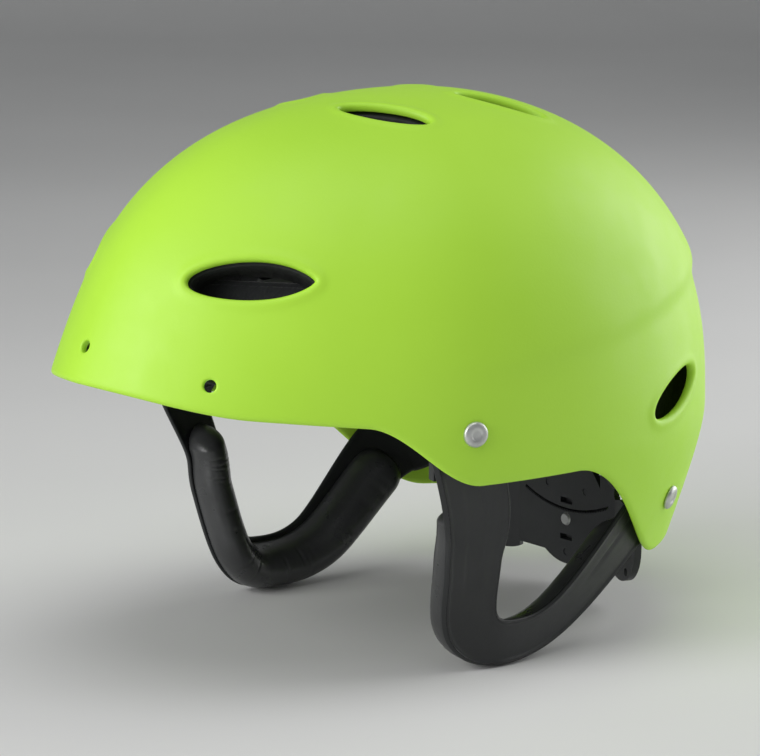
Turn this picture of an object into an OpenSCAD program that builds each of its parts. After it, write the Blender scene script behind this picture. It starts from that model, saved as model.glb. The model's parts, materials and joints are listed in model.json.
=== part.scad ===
// Water helmet: vented hard shell with a short peak, foam liner, looped ear
// guards, dial-adjusted nape cradle and a two-piece chin strap.
// Millimetres. +X is the wearer's left, -Y the front, +Z up. The origin is the
// centre of the head space, level with the tops of the ears.

/* [Shell] */
// Half the width at ear level
half_w = 108; // [104:1:112]
// Reach from the origin to the brow
front_len = 156.8; // [155:0.2:159]
// Reach from the origin to the back
rear_len = 136.4; // [134:0.2:138]
// Height of the crown
crown_h = 130.4; // [128:0.2:133]
// Wall thickness of the shell
shell_t = 3; // [2.5:0.1:3]
// How far the peak flares out at ear level
peak_flare = 15.3; // [14:0.1:16]
// Level at which the peak starts to flare
peak_top = 71.7; // [70:0.1:73]
// Level of the peak's edge at the middle
brim_z = 30; // [29:0.5:31]
// Level of the temple edge
temple_z = -9; // [-11:0.5:-7]
// Level of the edge around the nape
nape_z = -57; // [-60:0.5:-55]
// Height of the notch over the dial
notch_h = 9; // [7:0.5:12]

/* [Crease] */
// Step of the upper panel over the lower band
crease_up = 2.6; // [1:0.1:3]
// Hollow just under the crease
crease_down = 1.2; // [0.5:0.1:1.5]
// Level of the crease at the temple
crease_z0 = 34; // [30:1:36]
// Rise of the crease towards the back
crease_rise = 24; // [20:1:26]

/* [Openings] */
// Length of a brow vent
brow_vent_l = 49; // [46:1:50]
// Height of a brow vent
brow_vent_h = 15.5; // [12:0.5:16]
// Length of a crown vent
crown_vent_l = 36.5; // [34:0.5:38]
// Width of a crown vent
crown_vent_w = 13.5; // [11:0.5:14]
// Length of a side vent
side_vent_l = 39; // [32:1:40]
// Height of a side vent
side_vent_h = 14; // [10:0.5:15]
// Diameter of the three peak holes
peak_hole_d = 5; // [4:0.1:6]
// Diameter of the rivet shanks
rivet_d = 5; // [4:0.1:5]

/* [Liner] */
// Gap from shell to foam
liner_gap = 1.3; // [1.2:0.1:1.6]
// Foam thickness
liner_t = 13.7; // [12:0.1:13.7]
// Thickness of the comfort pads
pad_t = 8; // [6:0.5:9]

/* [Ear guards] */
// Thickness of the guard sheet
guard_t = 2.8; // [2.4:0.1:2.8]
// Half width of the soft bead
bead_w = 9; // [6:0.25:10]
// Height of the soft bead
bead_h = 15; // [7:0.5:17]

/* [Cradle] */
// Distance of the cradle plate behind the origin
cradle_y = 90; // [88:0.5:91]
// Thickness of the cradle plate
cradle_t = 3; // [2.5:0.1:3]
// Radius of the arc that the toothed straps follow
rack_r = 70; // [70:1:70]
// Pitch radius of the pinion
pinion_r = 3.5; // [3.5:0.5:3.5]
// Radius of the dial
dial_r = 13; // [12:0.5:14]

/* [Chin strap] */
// Width of the webbing
web_w = 20; // [18:0.5:20]
// Thickness of the webbing
web_t = 1.6; // [1.2:0.1:1.8]
// Length of each webbing half
web_l = 72; // [60:1:76]
// Inward tilt of the stowed webbing
web_tilt = 36; // [35:1:38]

/* [Hidden] */
$fn = 48;
around = 64;
rows = 16;

// Exponents of the plan and of the side profile
n_front = 1.72;
n_rear = 2;
p_side = [2.77, 1.92];
p_front = [2.18, 2.64];
p_rear = [2.52, 2.05];
tuck_k = 0.367;
tuck_soft = 15;

// Where things sit on the shell: angle from the front, height
side_rivet = [66.2, 11.9];
rear_rivet = [130.5, -33];
peak_holes = [[-21, 33], [0, 43.2], [21, 33]];

// Rivet heads, tails and washers, measured inwards from the shell's skin
head_r = 5;
head_h = 2.4;
tail_z = 12.2;
plate_z = 10.8;
plate_t = 1.2;
washer_z = 11.2;
pocket_depth = 8.6;
liner_lift = 10;
liner_nape = -27;

// Centre line of a guard from the temple to the nape: y, z, half width, and how
// far the outer and the inner edge stand inwards of the shell's run
guard_line = [[-47, 27, 13, 0, 0], [-46.5, 9, 13.4, 0, 0],
    [-35.4, -25.2, 12, 5, 0.4], [-34.2, -44.7, 11, 3.4, 0.5],
    [-28.8, -71.2, 10.7, 4.2, 1.4], [-13.2, -79.7, 10, 0.8, 0.6],
    [15.6, -73.7, 10.2, 3, 2.3], [54, -41.5, 13.6, 0.5, 3],
    [68, -35, 14.4, 0, 2], [82.9, -29.4, 11, 0, 0]];
guard_d = shell_t + 0.4;
guard_steps = 46;

// Chin strap hinge bar, from the rivet: inwards and down
bar = [-12.5, -17.5];
bar_r = 1.3;

// Cradle: planes behind the plate, hinge line, arc centre and dial
rack_y = cradle_y + cradle_t + 0.3;
rack_t = 2;
cover_y = rack_y + rack_t + 0.3;
cover_t = 3;
knob_y = cover_y + cover_t + 0.6;
knob_t = 8;
hinge = [cradle_y + cradle_t / 2, -28];
hanger_x = 26;
wing_x = 31;
pin_r = 1.5;
arc_z = 9;
dial_z = arc_z - rack_r;
teeth = 8;

shell_col = [0.62, 0.85, 0.18];
dark_col = [0.13, 0.14, 0.15];
foam_col = [0.08, 0.08, 0.09];
steel_col = [0.75, 0.76, 0.78];

// ---- shape rules ----
function sstep(t) = let (c = min(1, max(0, t))) c * c * (3 - 2 * c);
function tuck(z) = sqrt(z * z + tuck_soft * tuck_soft) - tuck_soft;
function fall(z, h, pq, k) =
    z >= 0 ? pow(max(0, 1 - pow(min(1, z / h), pq[0])), 1 / pq[1])
           : 1 - k * tuck(z) / h;
function ease_down(z, top) = z < top ? pow(1 - z / top, 2) : 0;

// Half width and half length of the level z, inset by d
function wide(z, d) = (half_w - d) * fall(z, crown_h - d, p_side, tuck_k);
function ahead(z, d, flare) =
    (front_len - d) * fall(z, crown_h - d, p_front, 0)
    + flare * ease_down(z, peak_top);
function behind(z, d) = (rear_len - d) * fall(z, crown_h - d, p_rear, tuck_k);

function crease_z(a) = crease_z0 + crease_rise * sstep((a - 62) / 105);
function crease(a, z, d) =
    let (s = z - crease_z(a), up = 1 / (1 + exp(-max(-60, min(60, s / 2)))),
         w = sstep((a - 45) / 110) * sqrt(fall(z, crown_h - d, p_side, 0)))
    w * (up * crease_up * exp(-max(s, 0) / 35)
        - (1 - up) * crease_down * exp(min(s, 0) / 30));

// Exponent of the plan: pointed ahead, elliptical from the side back
function roundness(a) = n_front + (n_rear - n_front) * sstep((a - 40) / 45);

// Horizontal distance of the surface from the Z axis at angle phi
function reach(phi, z, d, flare) =
    let (a = max(0.001, wide(z, d)),
         b = max(0.001, cos(phi) > 0 ? ahead(z, d, flare) : behind(z, d)),
         n = roundness(turn(phi)))
    pow(pow(abs(sin(phi)) / a, n) + pow(abs(cos(phi)) / b, n), -1 / n)
    + crease(turn(phi), z, d);
function turn(phi) = let (m = abs(phi) % 360) m > 180 ? 360 - m : m;
function skin(phi, z, d, flare) =
    let (r = reach(phi, z, d, flare)) [r * sin(phi), -r * cos(phi), z];

// Level of the shell's edge at angle phi
function rim(phi) = let (a = turn(phi))
    brim_z - 7.5 * sstep(a / 28) - 9 * sstep((a - 8) / 60)
    + (temple_z - brim_z + 16.5) * sstep((a - 46) / 22)
    + (nape_z - temple_z) * sstep((a - 92) / 42)
    + notch_h * sstep((a - 160) / 14);

// Lower edge of the foam: above the shell's edge, and level around the nape
function liner_edge(phi) = let (e = rim(phi) + liner_lift)
    e + (liner_nape - e) * sstep((turn(phi) - 112) / 20);

// Outward normal of the shell at an angle and height
function unit(v) = v / norm(v);
function outward(p, flare) =
    unit(cross(skin(p[0] + 0.5, p[1], 0, flare) - skin(p[0] - 0.5, p[1], 0, flare),
               skin(p[0], p[1] + 0.5, 0, flare) - skin(p[0], p[1] - 0.5, 0, flare)));

module on_shell(p, flare) {
    n = outward(p, flare);
    translate(skin(p[0], p[1], 0, peak_flare))
        rotate([0, acos(n[2]), atan2(n[1], n[0])]) children();
}

module both_sides() {
    children();
    mirror([1, 0, 0]) children();
}

// Extra depth of the liner behind the guard tabs and strap plates
function pocket(a, z) = pocket_depth * sstep((40 - z) / 10)
    * sstep((a - 44) / 8) * (1 - sstep((a - 144) / 8));

// Closed dome between an outer and an inner surface
module dome(outer_d, inner_d, flare, cut) {
    n = around;
    m = rows;
    function level(d, i, phi) =
        let (lo = cut == 1 ? liner_edge(phi) : rim(phi), hi = crown_h - d)
        lo + (hi - lo) * sin(90 * i / m);
    function ring(d, i, dip) = [for (j = [0 : n - 1])
        let (phi = j * 360 / n, z = level(d, i, phi))
        skin(phi, z, d + dip * pocket(turn(phi), z), flare)];
    pts = concat([for (i = [0 : m - 1]) each ring(outer_d, i, cut)],
                 [for (i = [0 : m - 1]) each ring(inner_d, i, 0)],
                 [[0, 0, crown_h - outer_d], [0, 0, crown_h - inner_d]]);
    function id(s, i, j) = s * m * n + i * n + j % n;
    top = 2 * m * n;
    faces = concat(
        [for (i = [0 : m - 2], j = [0 : n - 1], k = [0, 1]) k == 0
            ? [id(0, i, j), id(0, i + 1, j), id(0, i, j + 1)]
            : [id(0, i + 1, j), id(0, i + 1, j + 1), id(0, i, j + 1)]],
        [for (i = [0 : m - 2], j = [0 : n - 1], k = [0, 1]) k == 0
            ? [id(1, i, j), id(1, i, j + 1), id(1, i + 1, j)]
            : [id(1, i + 1, j), id(1, i, j + 1), id(1, i + 1, j + 1)]],
        [for (j = [0 : n - 1]) [id(0, m - 1, j), top, id(0, m - 1, j + 1)]],
        [for (j = [0 : n - 1]) [id(1, m - 1, j), id(1, m - 1, j + 1), top + 1]],
        [for (j = [0 : n - 1], k = [0, 1]) k == 0
            ? [id(0, 0, j), id(0, 0, j + 1), id(1, 0, j)]
            : [id(0, 0, j + 1), id(1, 0, j + 1), id(1, 0, j)]]);
    polyhedron(pts, faces, convexity = 6);
}

// Closed sheet between two point grids of the same size
module sheet(a, b) {
    m = len(a);
    n = len(a[0]);
    function id(s, i, j) = s * m * n + i * n + j;
    pts = concat([for (r = a) each r], [for (r = b) each r]);
    edge = concat([for (j = [0 : n - 2]) [0, j, 0, j + 1]],
                  [for (i = [0 : m - 2]) [i, n - 1, i + 1, n - 1]],
                  [for (j = [n - 1 : -1 : 1]) [m - 1, j, m - 1, j - 1]],
                  [for (i = [m - 1 : -1 : 1]) [i, 0, i - 1, 0]]);
    faces = concat(
        [for (i = [0 : m - 2], j = [0 : n - 2], k = [0, 1]) k == 0
            ? [id(0, i, j), id(0, i + 1, j), id(0, i, j + 1)]
            : [id(0, i + 1, j), id(0, i + 1, j + 1), id(0, i, j + 1)]],
        [for (i = [0 : m - 2], j = [0 : n - 2], k = [0, 1]) k == 0
            ? [id(1, i, j), id(1, i, j + 1), id(1, i + 1, j)]
            : [id(1, i + 1, j), id(1, i, j + 1), id(1, i + 1, j + 1)]],
        [for (e = edge, k = [0, 1]) k == 0
            ? [id(0, e[0], e[1]), id(0, e[2], e[3]), id(1, e[0], e[1])]
            : [id(0, e[2], e[3]), id(1, e[2], e[3]), id(1, e[0], e[1])]]);
    polyhedron(pts, faces, convexity = 6);
}

// ---- shell ----
module eye(l, h) {
    r = (l * l / 4 + h * h / 4) / h;
    intersection() {
        translate([0, r - h / 2]) circle(r, $fn = 128);
        translate([0, h / 2 - r]) circle(r, $fn = 128);
    }
}

module oval_cut(l, w, depth) {
    translate([0, 0, -depth]) scale([l / w, 1, 1])
        cylinder(h = 2 * depth, d = w);
}

// Openings through the shell and the foam behind it
module vents(grow, depth) {
    both_sides() {
        translate([48.9, -111, 70.7]) rotate([0, 0, 46.5]) rotate([63.4, 0, 0])
            rotate([0, 0, 1])
            translate([0, 0, -depth]) linear_extrude(2 * depth)
                eye(brow_vent_l + 2 * grow, brow_vent_h + 2 * grow);
        translate([27, -29.5, 124.7]) rotate([0, 15.6, 0]) rotate([6.3, 0, 0])
            rotate([0, 0, 42])
            oval_cut(crown_vent_l + grow, crown_vent_w + grow, depth);
        translate([26, 30, 124]) rotate([0, 8, 0]) rotate([-10, 0, 56])
            oval_cut(crown_vent_l + grow - 1, crown_vent_w + grow - 0.5, depth);
        translate([93.5, 67, 12.5]) rotate([0, 84, 36]) rotate([0, 0, 90])
            rotate([0, 0, 16])
            oval_cut(side_vent_l + grow, side_vent_h + grow, depth);
    }
}

module rivet_places() {
    both_sides() {
        on_shell(side_rivet, 0) children();
        on_shell(rear_rivet, 0) children();
    }
}

module outer_shell() {
    color(shell_col) difference() {
        dome(0, shell_t, peak_flare, 0);
        vents(0, 13);
        for (p = peak_holes) on_shell(p, peak_flare)
            translate([0, 0, -8]) cylinder(h = 16, d = peak_hole_d);
        rivet_places() translate([0, 0, -6])
            cylinder(h = 12, d = rivet_d + 0.2);
    }
}

module shell_rivets() {
    dome_r = (head_r * head_r + head_h * head_h) / (2 * head_h);
    color(steel_col) rivet_places() {
        intersection() {
            translate([0, 0, 0.05]) cylinder(h = head_h, r = head_r);
            translate([0, 0, head_h + 0.05 - dome_r]) sphere(dome_r);
        }
        translate([0, 0, -tail_z]) cylinder(h = tail_z + 0.2, d = rivet_d);
        translate([0, 0, -tail_z]) cylinder(h = 1, d = rivet_d + 1.6);
    }
}

module rivet_washers() {
    color(steel_col) both_sides() {
        on_shell(side_rivet, 0) washer(plate_z - plate_t - 0.4, 0.8);
        on_shell(rear_rivet, 0) washer(washer_z, washer_z - guard_d - guard_t - 1.8);
    }
}

module washer(z, h) {
    translate([0, 0, -z]) difference() {
        cylinder(h = h, r = 6);
        translate([0, 0, -1]) cylinder(h = h + 2, d = rivet_d + 0.2);
    }
}

// ---- foam ----
liner_in = shell_t + liner_gap + liner_t;

module impact_liner() {
    color(foam_col) difference() {
        dome(shell_t + liner_gap, liner_in, 0, 1);
        vents(-1, 26);
    }
}

// Cushion on the inside of the liner between two angles and two levels
module cushion(a0, a1, z0, z1) {
    nu = 16;
    nv = 8;
    d = liner_in + 0.8;
    function spread(u) = pow(1 - pow(abs(u), 4), 0.25);
    function at(i, j, deep) =
        let (u = 2 * i / nu - 1, v = 2 * j / nv - 1,
             a = (a0 + a1) / 2 + (a1 - a0) / 2 * u * 0.98,
             z = (z0 + z1) / 2 + (z1 - z0) / 2 * v * max(0.3, spread(u)),
             swell = 1.2 + (pad_t - 1.2) * sqrt((1 - pow(u, 4)) * (1 - pow(v, 4))))
        skin(a, z, d + deep * swell, 0);
    function grid(deep) = [for (j = [0 : nv]) [for (i = [0 : nu]) at(i, j, deep)]];
    sheet(grid(0), grid(1));
}

module brow_pad() { color(dark_col) cushion(-42, 42, 43, 66); }
module side_pad_left() { color(dark_col) cushion(84, 118, 4, 46); }
module side_pad_right() { color(dark_col) mirror([1, 0, 0]) cushion(84, 118, 4, 46); }

module crown_pad() {
    d = liner_in + 0.5;
    function dome_z(r) = (crown_h - d)
        * pow(1 - pow(r / (half_w - d), p_side[1]), 1 / p_side[0]) - 0.6;
    r1 = 32;
    color(dark_col) rotate_extrude()
        polygon(concat([for (i = [0 : 8]) [i * r1 / 8, dome_z(i * r1 / 8)]],
                       [[r1 + 1.5, dome_z(r1) - 3], [r1, dome_z(r1) - 6],
                        [0, dome_z(r1) - 6]]));
}

// ---- ear guards ----
function knot(k, j) = guard_line[max(0, min(len(guard_line) - 1, k))][j];
function spline(u, j) =
    let (k = floor(u), t = u - k, a = knot(k - 1, j), b = knot(k, j),
         c = knot(k + 1, j), d = knot(k + 2, j))
    b + 0.5 * t * (c - a + t * (2 * a - 5 * b + 4 * c - d
        + t * (3 * (b - c) + d - a)));
last = len(guard_line) - 1.001;
function line_at(u) = [spline(u, 0), spline(u, 1)];
function line_dir(u) = unit(line_at(min(last, u + 0.02)) - line_at(max(0, u - 0.02)));

// Distance from the middle plane of the shell's skin carried on downwards
function flank(y, z, d) =
    let (a = wide(z, d), b = y < 0 ? ahead(z, d, 0) : behind(z, d))
    flank_step(a, b, y, flank_step(a, b, y, flank_step(a, b, y, a)));
function flank_step(a, b, y, x) = let (n = roundness(turn(atan2(x, -y))))
    a * pow(max(0, 1 - pow(abs(y) / b, n)), 1 / n);

// Point on the guard: u along, v across (-1 outer edge, 1 inner edge)
function on_guard(u, across, d) =
    let (c = line_at(u), t = line_dir(u), y = c[0] - t[1] * across,
         z = c[1] + t[0] * across,
         s = 0.5 + 0.5 * across / spline(u, 2))
    [flank(y, z, d) - (1 - s) * spline(u, 3) - s * spline(u, 4), y, z];
function round_end(x) = sqrt(max(0.06, 1 - pow(1 - min(1, x), 2)));

module guard_sheet() {
    m = guard_steps;
    n = 6;
    function width(u) = spline(u, 2)
        * round_end(u / 0.45) * round_end((last - u) / 0.5);
    function grid(d) = [for (i = [0 : m]) let (u = last * i / m)
        [for (j = [0 : n]) on_guard(u, width(u) * (2 * j / n - 1), d)]];
    sheet(grid(guard_d + guard_t), grid(guard_d));
}

module guard_bead() {
    m = 34;
    n = 8;
    u0 = 1.8;
    u1 = 7;
    base = guard_d + guard_t + 0.3;
    function cap(u) = round_end((u - u0) / 0.22) * round_end((u1 - u) / 0.3);
    function grid(top) = [for (i = [0 : m]) let (u = u0 + (u1 - u0) * i / m)
        [for (j = [0 : n]) let (v = -cos(180 * j / n))
            on_guard(u, v * bead_w * cap(u) - 1,
                     base + top * (0.5 + (bead_h - 0.5) * cap(u)
                         * sqrt(1 - v * v)))]];
    sheet(grid(1), grid(0));
}

module ear_guard_left() {
    color(dark_col) difference() {
        guard_sheet();
        on_shell(side_rivet, 0) translate([0, 0, -9])
            cylinder(h = 9, d = rivet_d + 0.2);
        on_shell(rear_rivet, 0) translate([0, 0, -9])
            cylinder(h = 9, d = rivet_d + 0.2);
    }
}
module ear_guard_right() { mirror([1, 0, 0]) ear_guard_left(); }
module ear_bead_left() { color(dark_col) guard_bead(); }
module ear_bead_right() { mirror([1, 0, 0]) ear_bead_left(); }

// ---- chin strap ----
// Frame on the temple rivet: x outwards, y along the hinge bar, z up
module at_temple() {
    n = outward(side_rivet, 0);
    translate(skin(side_rivet[0], side_rivet[1], 0, peak_flare))
        rotate([0, 0, atan2(n[1], n[0])]) children();
}

module strap_plate_left() {
    color(dark_col) at_temple() {
        difference() {
            union() {
                translate([-plate_z, 0, 0]) rotate([0, 90, 0])
                    cylinder(h = plate_t, r = 9);
                translate([-plate_z, -13, -14.7]) cube([plate_t, 26, 8.7]);
                translate([-plate_z, -9, -8]) cube([plate_t, 18, 8]);
            }
            translate([-plate_z - 1, 0, 0]) rotate([0, 90, 0])
                cylinder(h = plate_t + 2, d = rivet_d + 0.8);
        }
        for (s = [-1, 1]) translate([bar[0] - 1.8, s * 12.2 - 0.8, -19.3])
            cube([-plate_z + plate_t - bar[0] + 1.8, 1.6, 6.5]);
        translate([bar[0], -13, bar[1]]) rotate([-90, 0, 0])
            cylinder(h = 26, r = bar_r);
    }
}
module strap_plate_right() { mirror([1, 0, 0]) strap_plate_left(); }

// Frame of the stowed webbing: x outwards, z along the webbing
module along_web() {
    at_temple() translate([bar[0], 0, bar[1]]) rotate([0, -web_tilt, 0]) children();
}

web_x = -bar_r - 0.1 - web_t;
module chin_strap_left() {
    color(dark_col) along_web() difference() {
        union() {
            translate([0, -web_w / 2, 0]) rotate([-90, 0, 0])
                cylinder(h = web_w, r = -web_x);
            translate([web_x, -web_w / 2, 0]) cube([web_t, web_w, web_l]);
        }
        translate([0, -web_w / 2 - 1, 0]) rotate([-90, 0, 0])
            cylinder(h = web_w + 2, r = bar_r + 0.1);
    }
}
module chin_strap_right() { mirror([1, 0, 0]) chin_strap_left(); }

buckle_w = 27;
buckle_h = 10;
web_mid = web_x + web_t / 2;
module web_slot(z0, z1) {
    translate([web_mid - web_t / 2 - 0.3, -web_w / 2 - 0.5, z0])
        cube([web_t + 0.6, web_w + 1, z1 - z0]);
}

module block(w, h, z0, z1) {
    r = 2;
    translate([web_mid, 0, z0]) linear_extrude(z1 - z0)
        for (sx = [-1, 1], sy = [-1, 1]) quarter_block(w, h, r, sx, sy);
}
// One quarter of a rectangle with a rounded corner
module quarter_block(w, h, r, sx, sy) {
    translate([sx * (h / 2 - r), sy * (w / 2 - r)]) circle(r);
    translate([min(0, sx * h / 2), min(0, sy * (w / 2 - r))])
        square([h / 2, w / 2 - r]);
    translate([min(0, sx * (h / 2 - r)), min(0, sy * w / 2)])
        square([h / 2 - r, w / 2]);
}

module buckle_female() {
    z0 = web_l - 7;
    color(dark_col) along_web() difference() {
        block(buckle_w, buckle_h, z0, z0 + 32);
        web_slot(z0 - 1, web_l + 0.4);
        translate([web_mid - 2.8, -9.5, z0 + 11]) cube([5.6, 19, 22]);
        for (s = [-1, 1]) translate([web_mid - 2.8, s * 11 - 4, z0 + 13])
            cube([5.6, 8, 9]);
    }
}

module buckle_male() {
    z0 = web_l - 7;
    color(dark_col) mirror([1, 0, 0]) along_web() {
        difference() {
            block(buckle_w, buckle_h, z0, z0 + 10);
            web_slot(z0 - 1, web_l + 0.4);
        }
        translate([web_mid - 2, -1.6, z0 + 9]) cube([4, 3.2, 19]);
        for (s = [-1, 1]) translate([web_mid - 2.4, s * 7 - 1.6, z0 + 9]) {
            cube([4.8, 3.2, 19]);
            translate([0, s * 1.6, 4]) cube([4.8, 3.2, 6]);
        }
    }
}

module strap_adjuster() {
    color(dark_col) along_web() difference() {
        block(buckle_w - 1, 5.6, 28, 40);
        web_slot(27, 41);
        for (z = [31, 35.6]) translate([web_mid - 4, -8, z]) cube([8, 16, 1.6]);
    }
}

// ---- nape cradle ----
// Slab standing in the XZ plane from y to y + t
module slab(y, t) {
    translate([0, y + t, 0]) rotate([90, 0, 0]) linear_extrude(t) children();
}
// Part of a ring about the arc centre, from angle b0 to b1 off straight down
module arc_band(r0, r1, b0, b1) {
    translate([0, arc_z]) difference() {
        circle(r1, $fn = 180);
        circle(r0, $fn = 180);
        rotate(b1 - 90) translate([-2 * r1, 0]) square([4 * r1, 2 * r1]);
        rotate(b0 + 90) translate([-2 * r1, 0]) square([4 * r1, 2 * r1]);
    }
}

module plate_middle() {
    difference() {
        union() {
            intersection() {
                translate([0, -56]) circle(24.6, $fn = 96);
                translate([-wing_x, -90]) square([2 * wing_x, 80]);
            }
            translate([-wing_x, -76.5]) square([2 * wing_x, 30.5]);
            for (s = [-1, 1]) translate([s * hanger_x - 4.5, -50])
                square([9, 22]);
        }
        arc_band(65.2, 66.6, -24, 24);
        for (z = [-53, -69]) translate([0, z]) square([7.5, 2.4], center = true);
        posts() circle(1.6, $fn = 24);
        translate([0, dial_z]) circle(2.1, $fn = 32);
    }
}

module plate_wing() {
    difference() {
        intersection() {
            translate([wing_x + 6, -63]) circle(17, $fn = 64);
            translate([wing_x - 0.4, -90]) square([40, 80]);
        }
        translate([wing_x + 13, -75]) circle(1.8, $fn = 24);
    }
}

module posts() {
    for (s = [-1, 1]) translate([s * 12, -47]) children();
    translate([0, -75.5]) children();
}

module cradle_plate() {
    color(dark_col) difference() {
        union() {
            slab(cradle_y, cradle_t) plate_middle();
            both_sides() translate([wing_x, cradle_y, 0]) rotate([0, 0, -20])
                translate([-wing_x, -cradle_y, 0]) slab(cradle_y, cradle_t)
                    plate_wing();
            for (s = [-1, 1]) translate([s * hanger_x - 4.5, hinge[0], hinge[1]])
                rotate([0, 90, 0]) cylinder(h = 9, r = 3.2);
        }
        translate([-40, hinge[0], hinge[1]]) rotate([0, 90, 0])
            cylinder(h = 80, r = pin_r + 0.08);
    }
}

module cradle_bracket() {
    color(dark_col) for (s = [-1, 1]) translate([s * hanger_x, 0, 0]) difference() {
        union() {
            translate([-7, hinge[0] + 4.2, -33]) cube([14, 100.5 - hinge[0] - 4.2, 10]);
            translate([0, 0, -33]) linear_extrude(17)
                polygon([[-7, 97], [7, 97], [7, s > 0 ? 103.2 : 108.8],
                         [-7, s > 0 ? 108.8 : 103.2]]);
            for (k = [-1, 1]) translate([k * 6 - 1, hinge[0], -32])
                cube([2, 5, 8]);
            for (k = [-1, 1]) translate([k * 6 - 1, hinge[0], hinge[1]])
                rotate([0, 90, 0]) cylinder(h = 2, r = 4);
        }
        translate([-9, hinge[0], hinge[1]]) rotate([0, 90, 0])
            cylinder(h = 18, r = pin_r + 0.02);
    }
}

module cradle_pins() {
    color(steel_col) for (s = [-1, 1])
        translate([s * hanger_x - 7.5, hinge[0], hinge[1]])
            rotate([0, 90, 0]) cylinder(h = 15, r = pin_r);
}

module axle_rivet() {
    color(steel_col) translate([0, cradle_y, dial_z]) rotate([-90, 0, 0]) {
        translate([0, 0, -1]) cylinder(h = 0.95, r1 = 2.2, r2 = 2.8);
        translate([0, 0, -0.1]) cylinder(h = 1.3, r = 1.6);
    }
}

module dial_housing() {
    color(dark_col) {
        slab(cover_y, cover_t) difference() {
            translate([0, dial_z]) circle(21, $fn = 96);
            translate([0, dial_z]) circle(2.1, $fn = 32);
        }
        slab(cradle_y + cradle_t + 0.02, cover_y - cradle_y - cradle_t)
            posts() circle(2.4, $fn = 32);
        slab(cradle_y + 0.3, cover_y - cradle_y)
            posts() circle(1.5, $fn = 32);
    }
}

module dial_knob() {
    color(dark_col) slab(knob_y, knob_t) difference() {
        translate([0, dial_z]) circle(dial_r, $fn = 96);
        translate([0, dial_z]) circle(2.05, $fn = 32);
        for (i = [0 : 23]) translate([0, dial_z]) rotate(i * 15)
            translate([dial_r + 0.8, 0]) circle(1.6, $fn = 24);
    }
}

// Tooth standing on a line
module tooth(foot, tip, h) {
    polygon([[-foot / 2, -0.3], [foot / 2, -0.3], [tip / 2, h], [-tip / 2, h]]);
}

module dial_pinion() {
    color(dark_col) {
        slab(rack_y, rack_t) translate([0, dial_z]) {
            circle(2.6, $fn = 48);
            for (i = [0 : teeth - 1]) rotate(i * 360 / teeth)
                translate([0, 2.5]) tooth(1.3, 0.5, 1.8);
        }
        difference() {
            translate([0, cradle_y + 1.2, dial_z]) rotate([-90, 0, 0])
                cylinder(h = knob_y + knob_t - 1 - cradle_y - 1.2, r = 2);
            translate([0, knob_y + 1, dial_z]) rotate([-90, 0, 0])
                cylinder(h = 20, r = 1);
        }
    }
}

module dial_screw() {
    color(steel_col) translate([0, knob_y + 2, dial_z]) rotate([-90, 0, 0]) {
        difference() {
            translate([0, 0, knob_t - 2 + 0.05]) cylinder(h = 1.6, r = 4);
            translate([-3, -0.5, knob_t - 1]) cube([6, 1, 2]);
        }
        cylinder(h = knob_t - 1, r = 0.95);
    }
}

rack_h = 4.6;
module rack_right() {
    r = rack_r - pinion_r;
    step = 360 / teeth * pinion_r / r;
    color(dark_col) slab(rack_y, rack_t) {
        arc_band(r - 0.9 - rack_h, r - 0.9, -38, 10);
        for (k = [-15 : 3]) translate([0, arc_z]) rotate((k + 0.5) * step + 180)
            translate([0, r - 0.9]) tooth(1.3, 0.5, 1.7);
    }
}
module rack_left() {
    r = rack_r + pinion_r;
    step = 360 / teeth * pinion_r / r;
    color(dark_col) slab(rack_y, rack_t) {
        arc_band(r + 0.9, r + 0.9 + rack_h, -10, 34);
        for (k = [-4 : 15]) translate([0, arc_z]) rotate((k + 0.5) * step + 180)
            translate([0, r + 0.9]) rotate(180) tooth(1.3, 0.5, 1.7);
    }
}

outer_shell();
shell_rivets();
rivet_washers();
impact_liner();
brow_pad();
crown_pad();
side_pad_left();
side_pad_right();
ear_guard_left();
ear_guard_right();
ear_bead_left();
ear_bead_right();
strap_plate_left();
strap_plate_right();
cradle_bracket();
cradle_plate();
cradle_pins();
axle_rivet();
dial_housing();
dial_knob();
dial_pinion();
dial_screw();
rack_left();
rack_right();
chin_strap_left();
chin_strap_right();
buckle_female();
buckle_male();
strap_adjuster();
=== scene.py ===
"""Water helmet: looks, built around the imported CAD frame. Lengths are millimetres until mesh_object()."""

import json
import math

import bmesh
import bpy
import numpy as np
from mathutils import Matrix, Vector, geometry, kdtree


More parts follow.
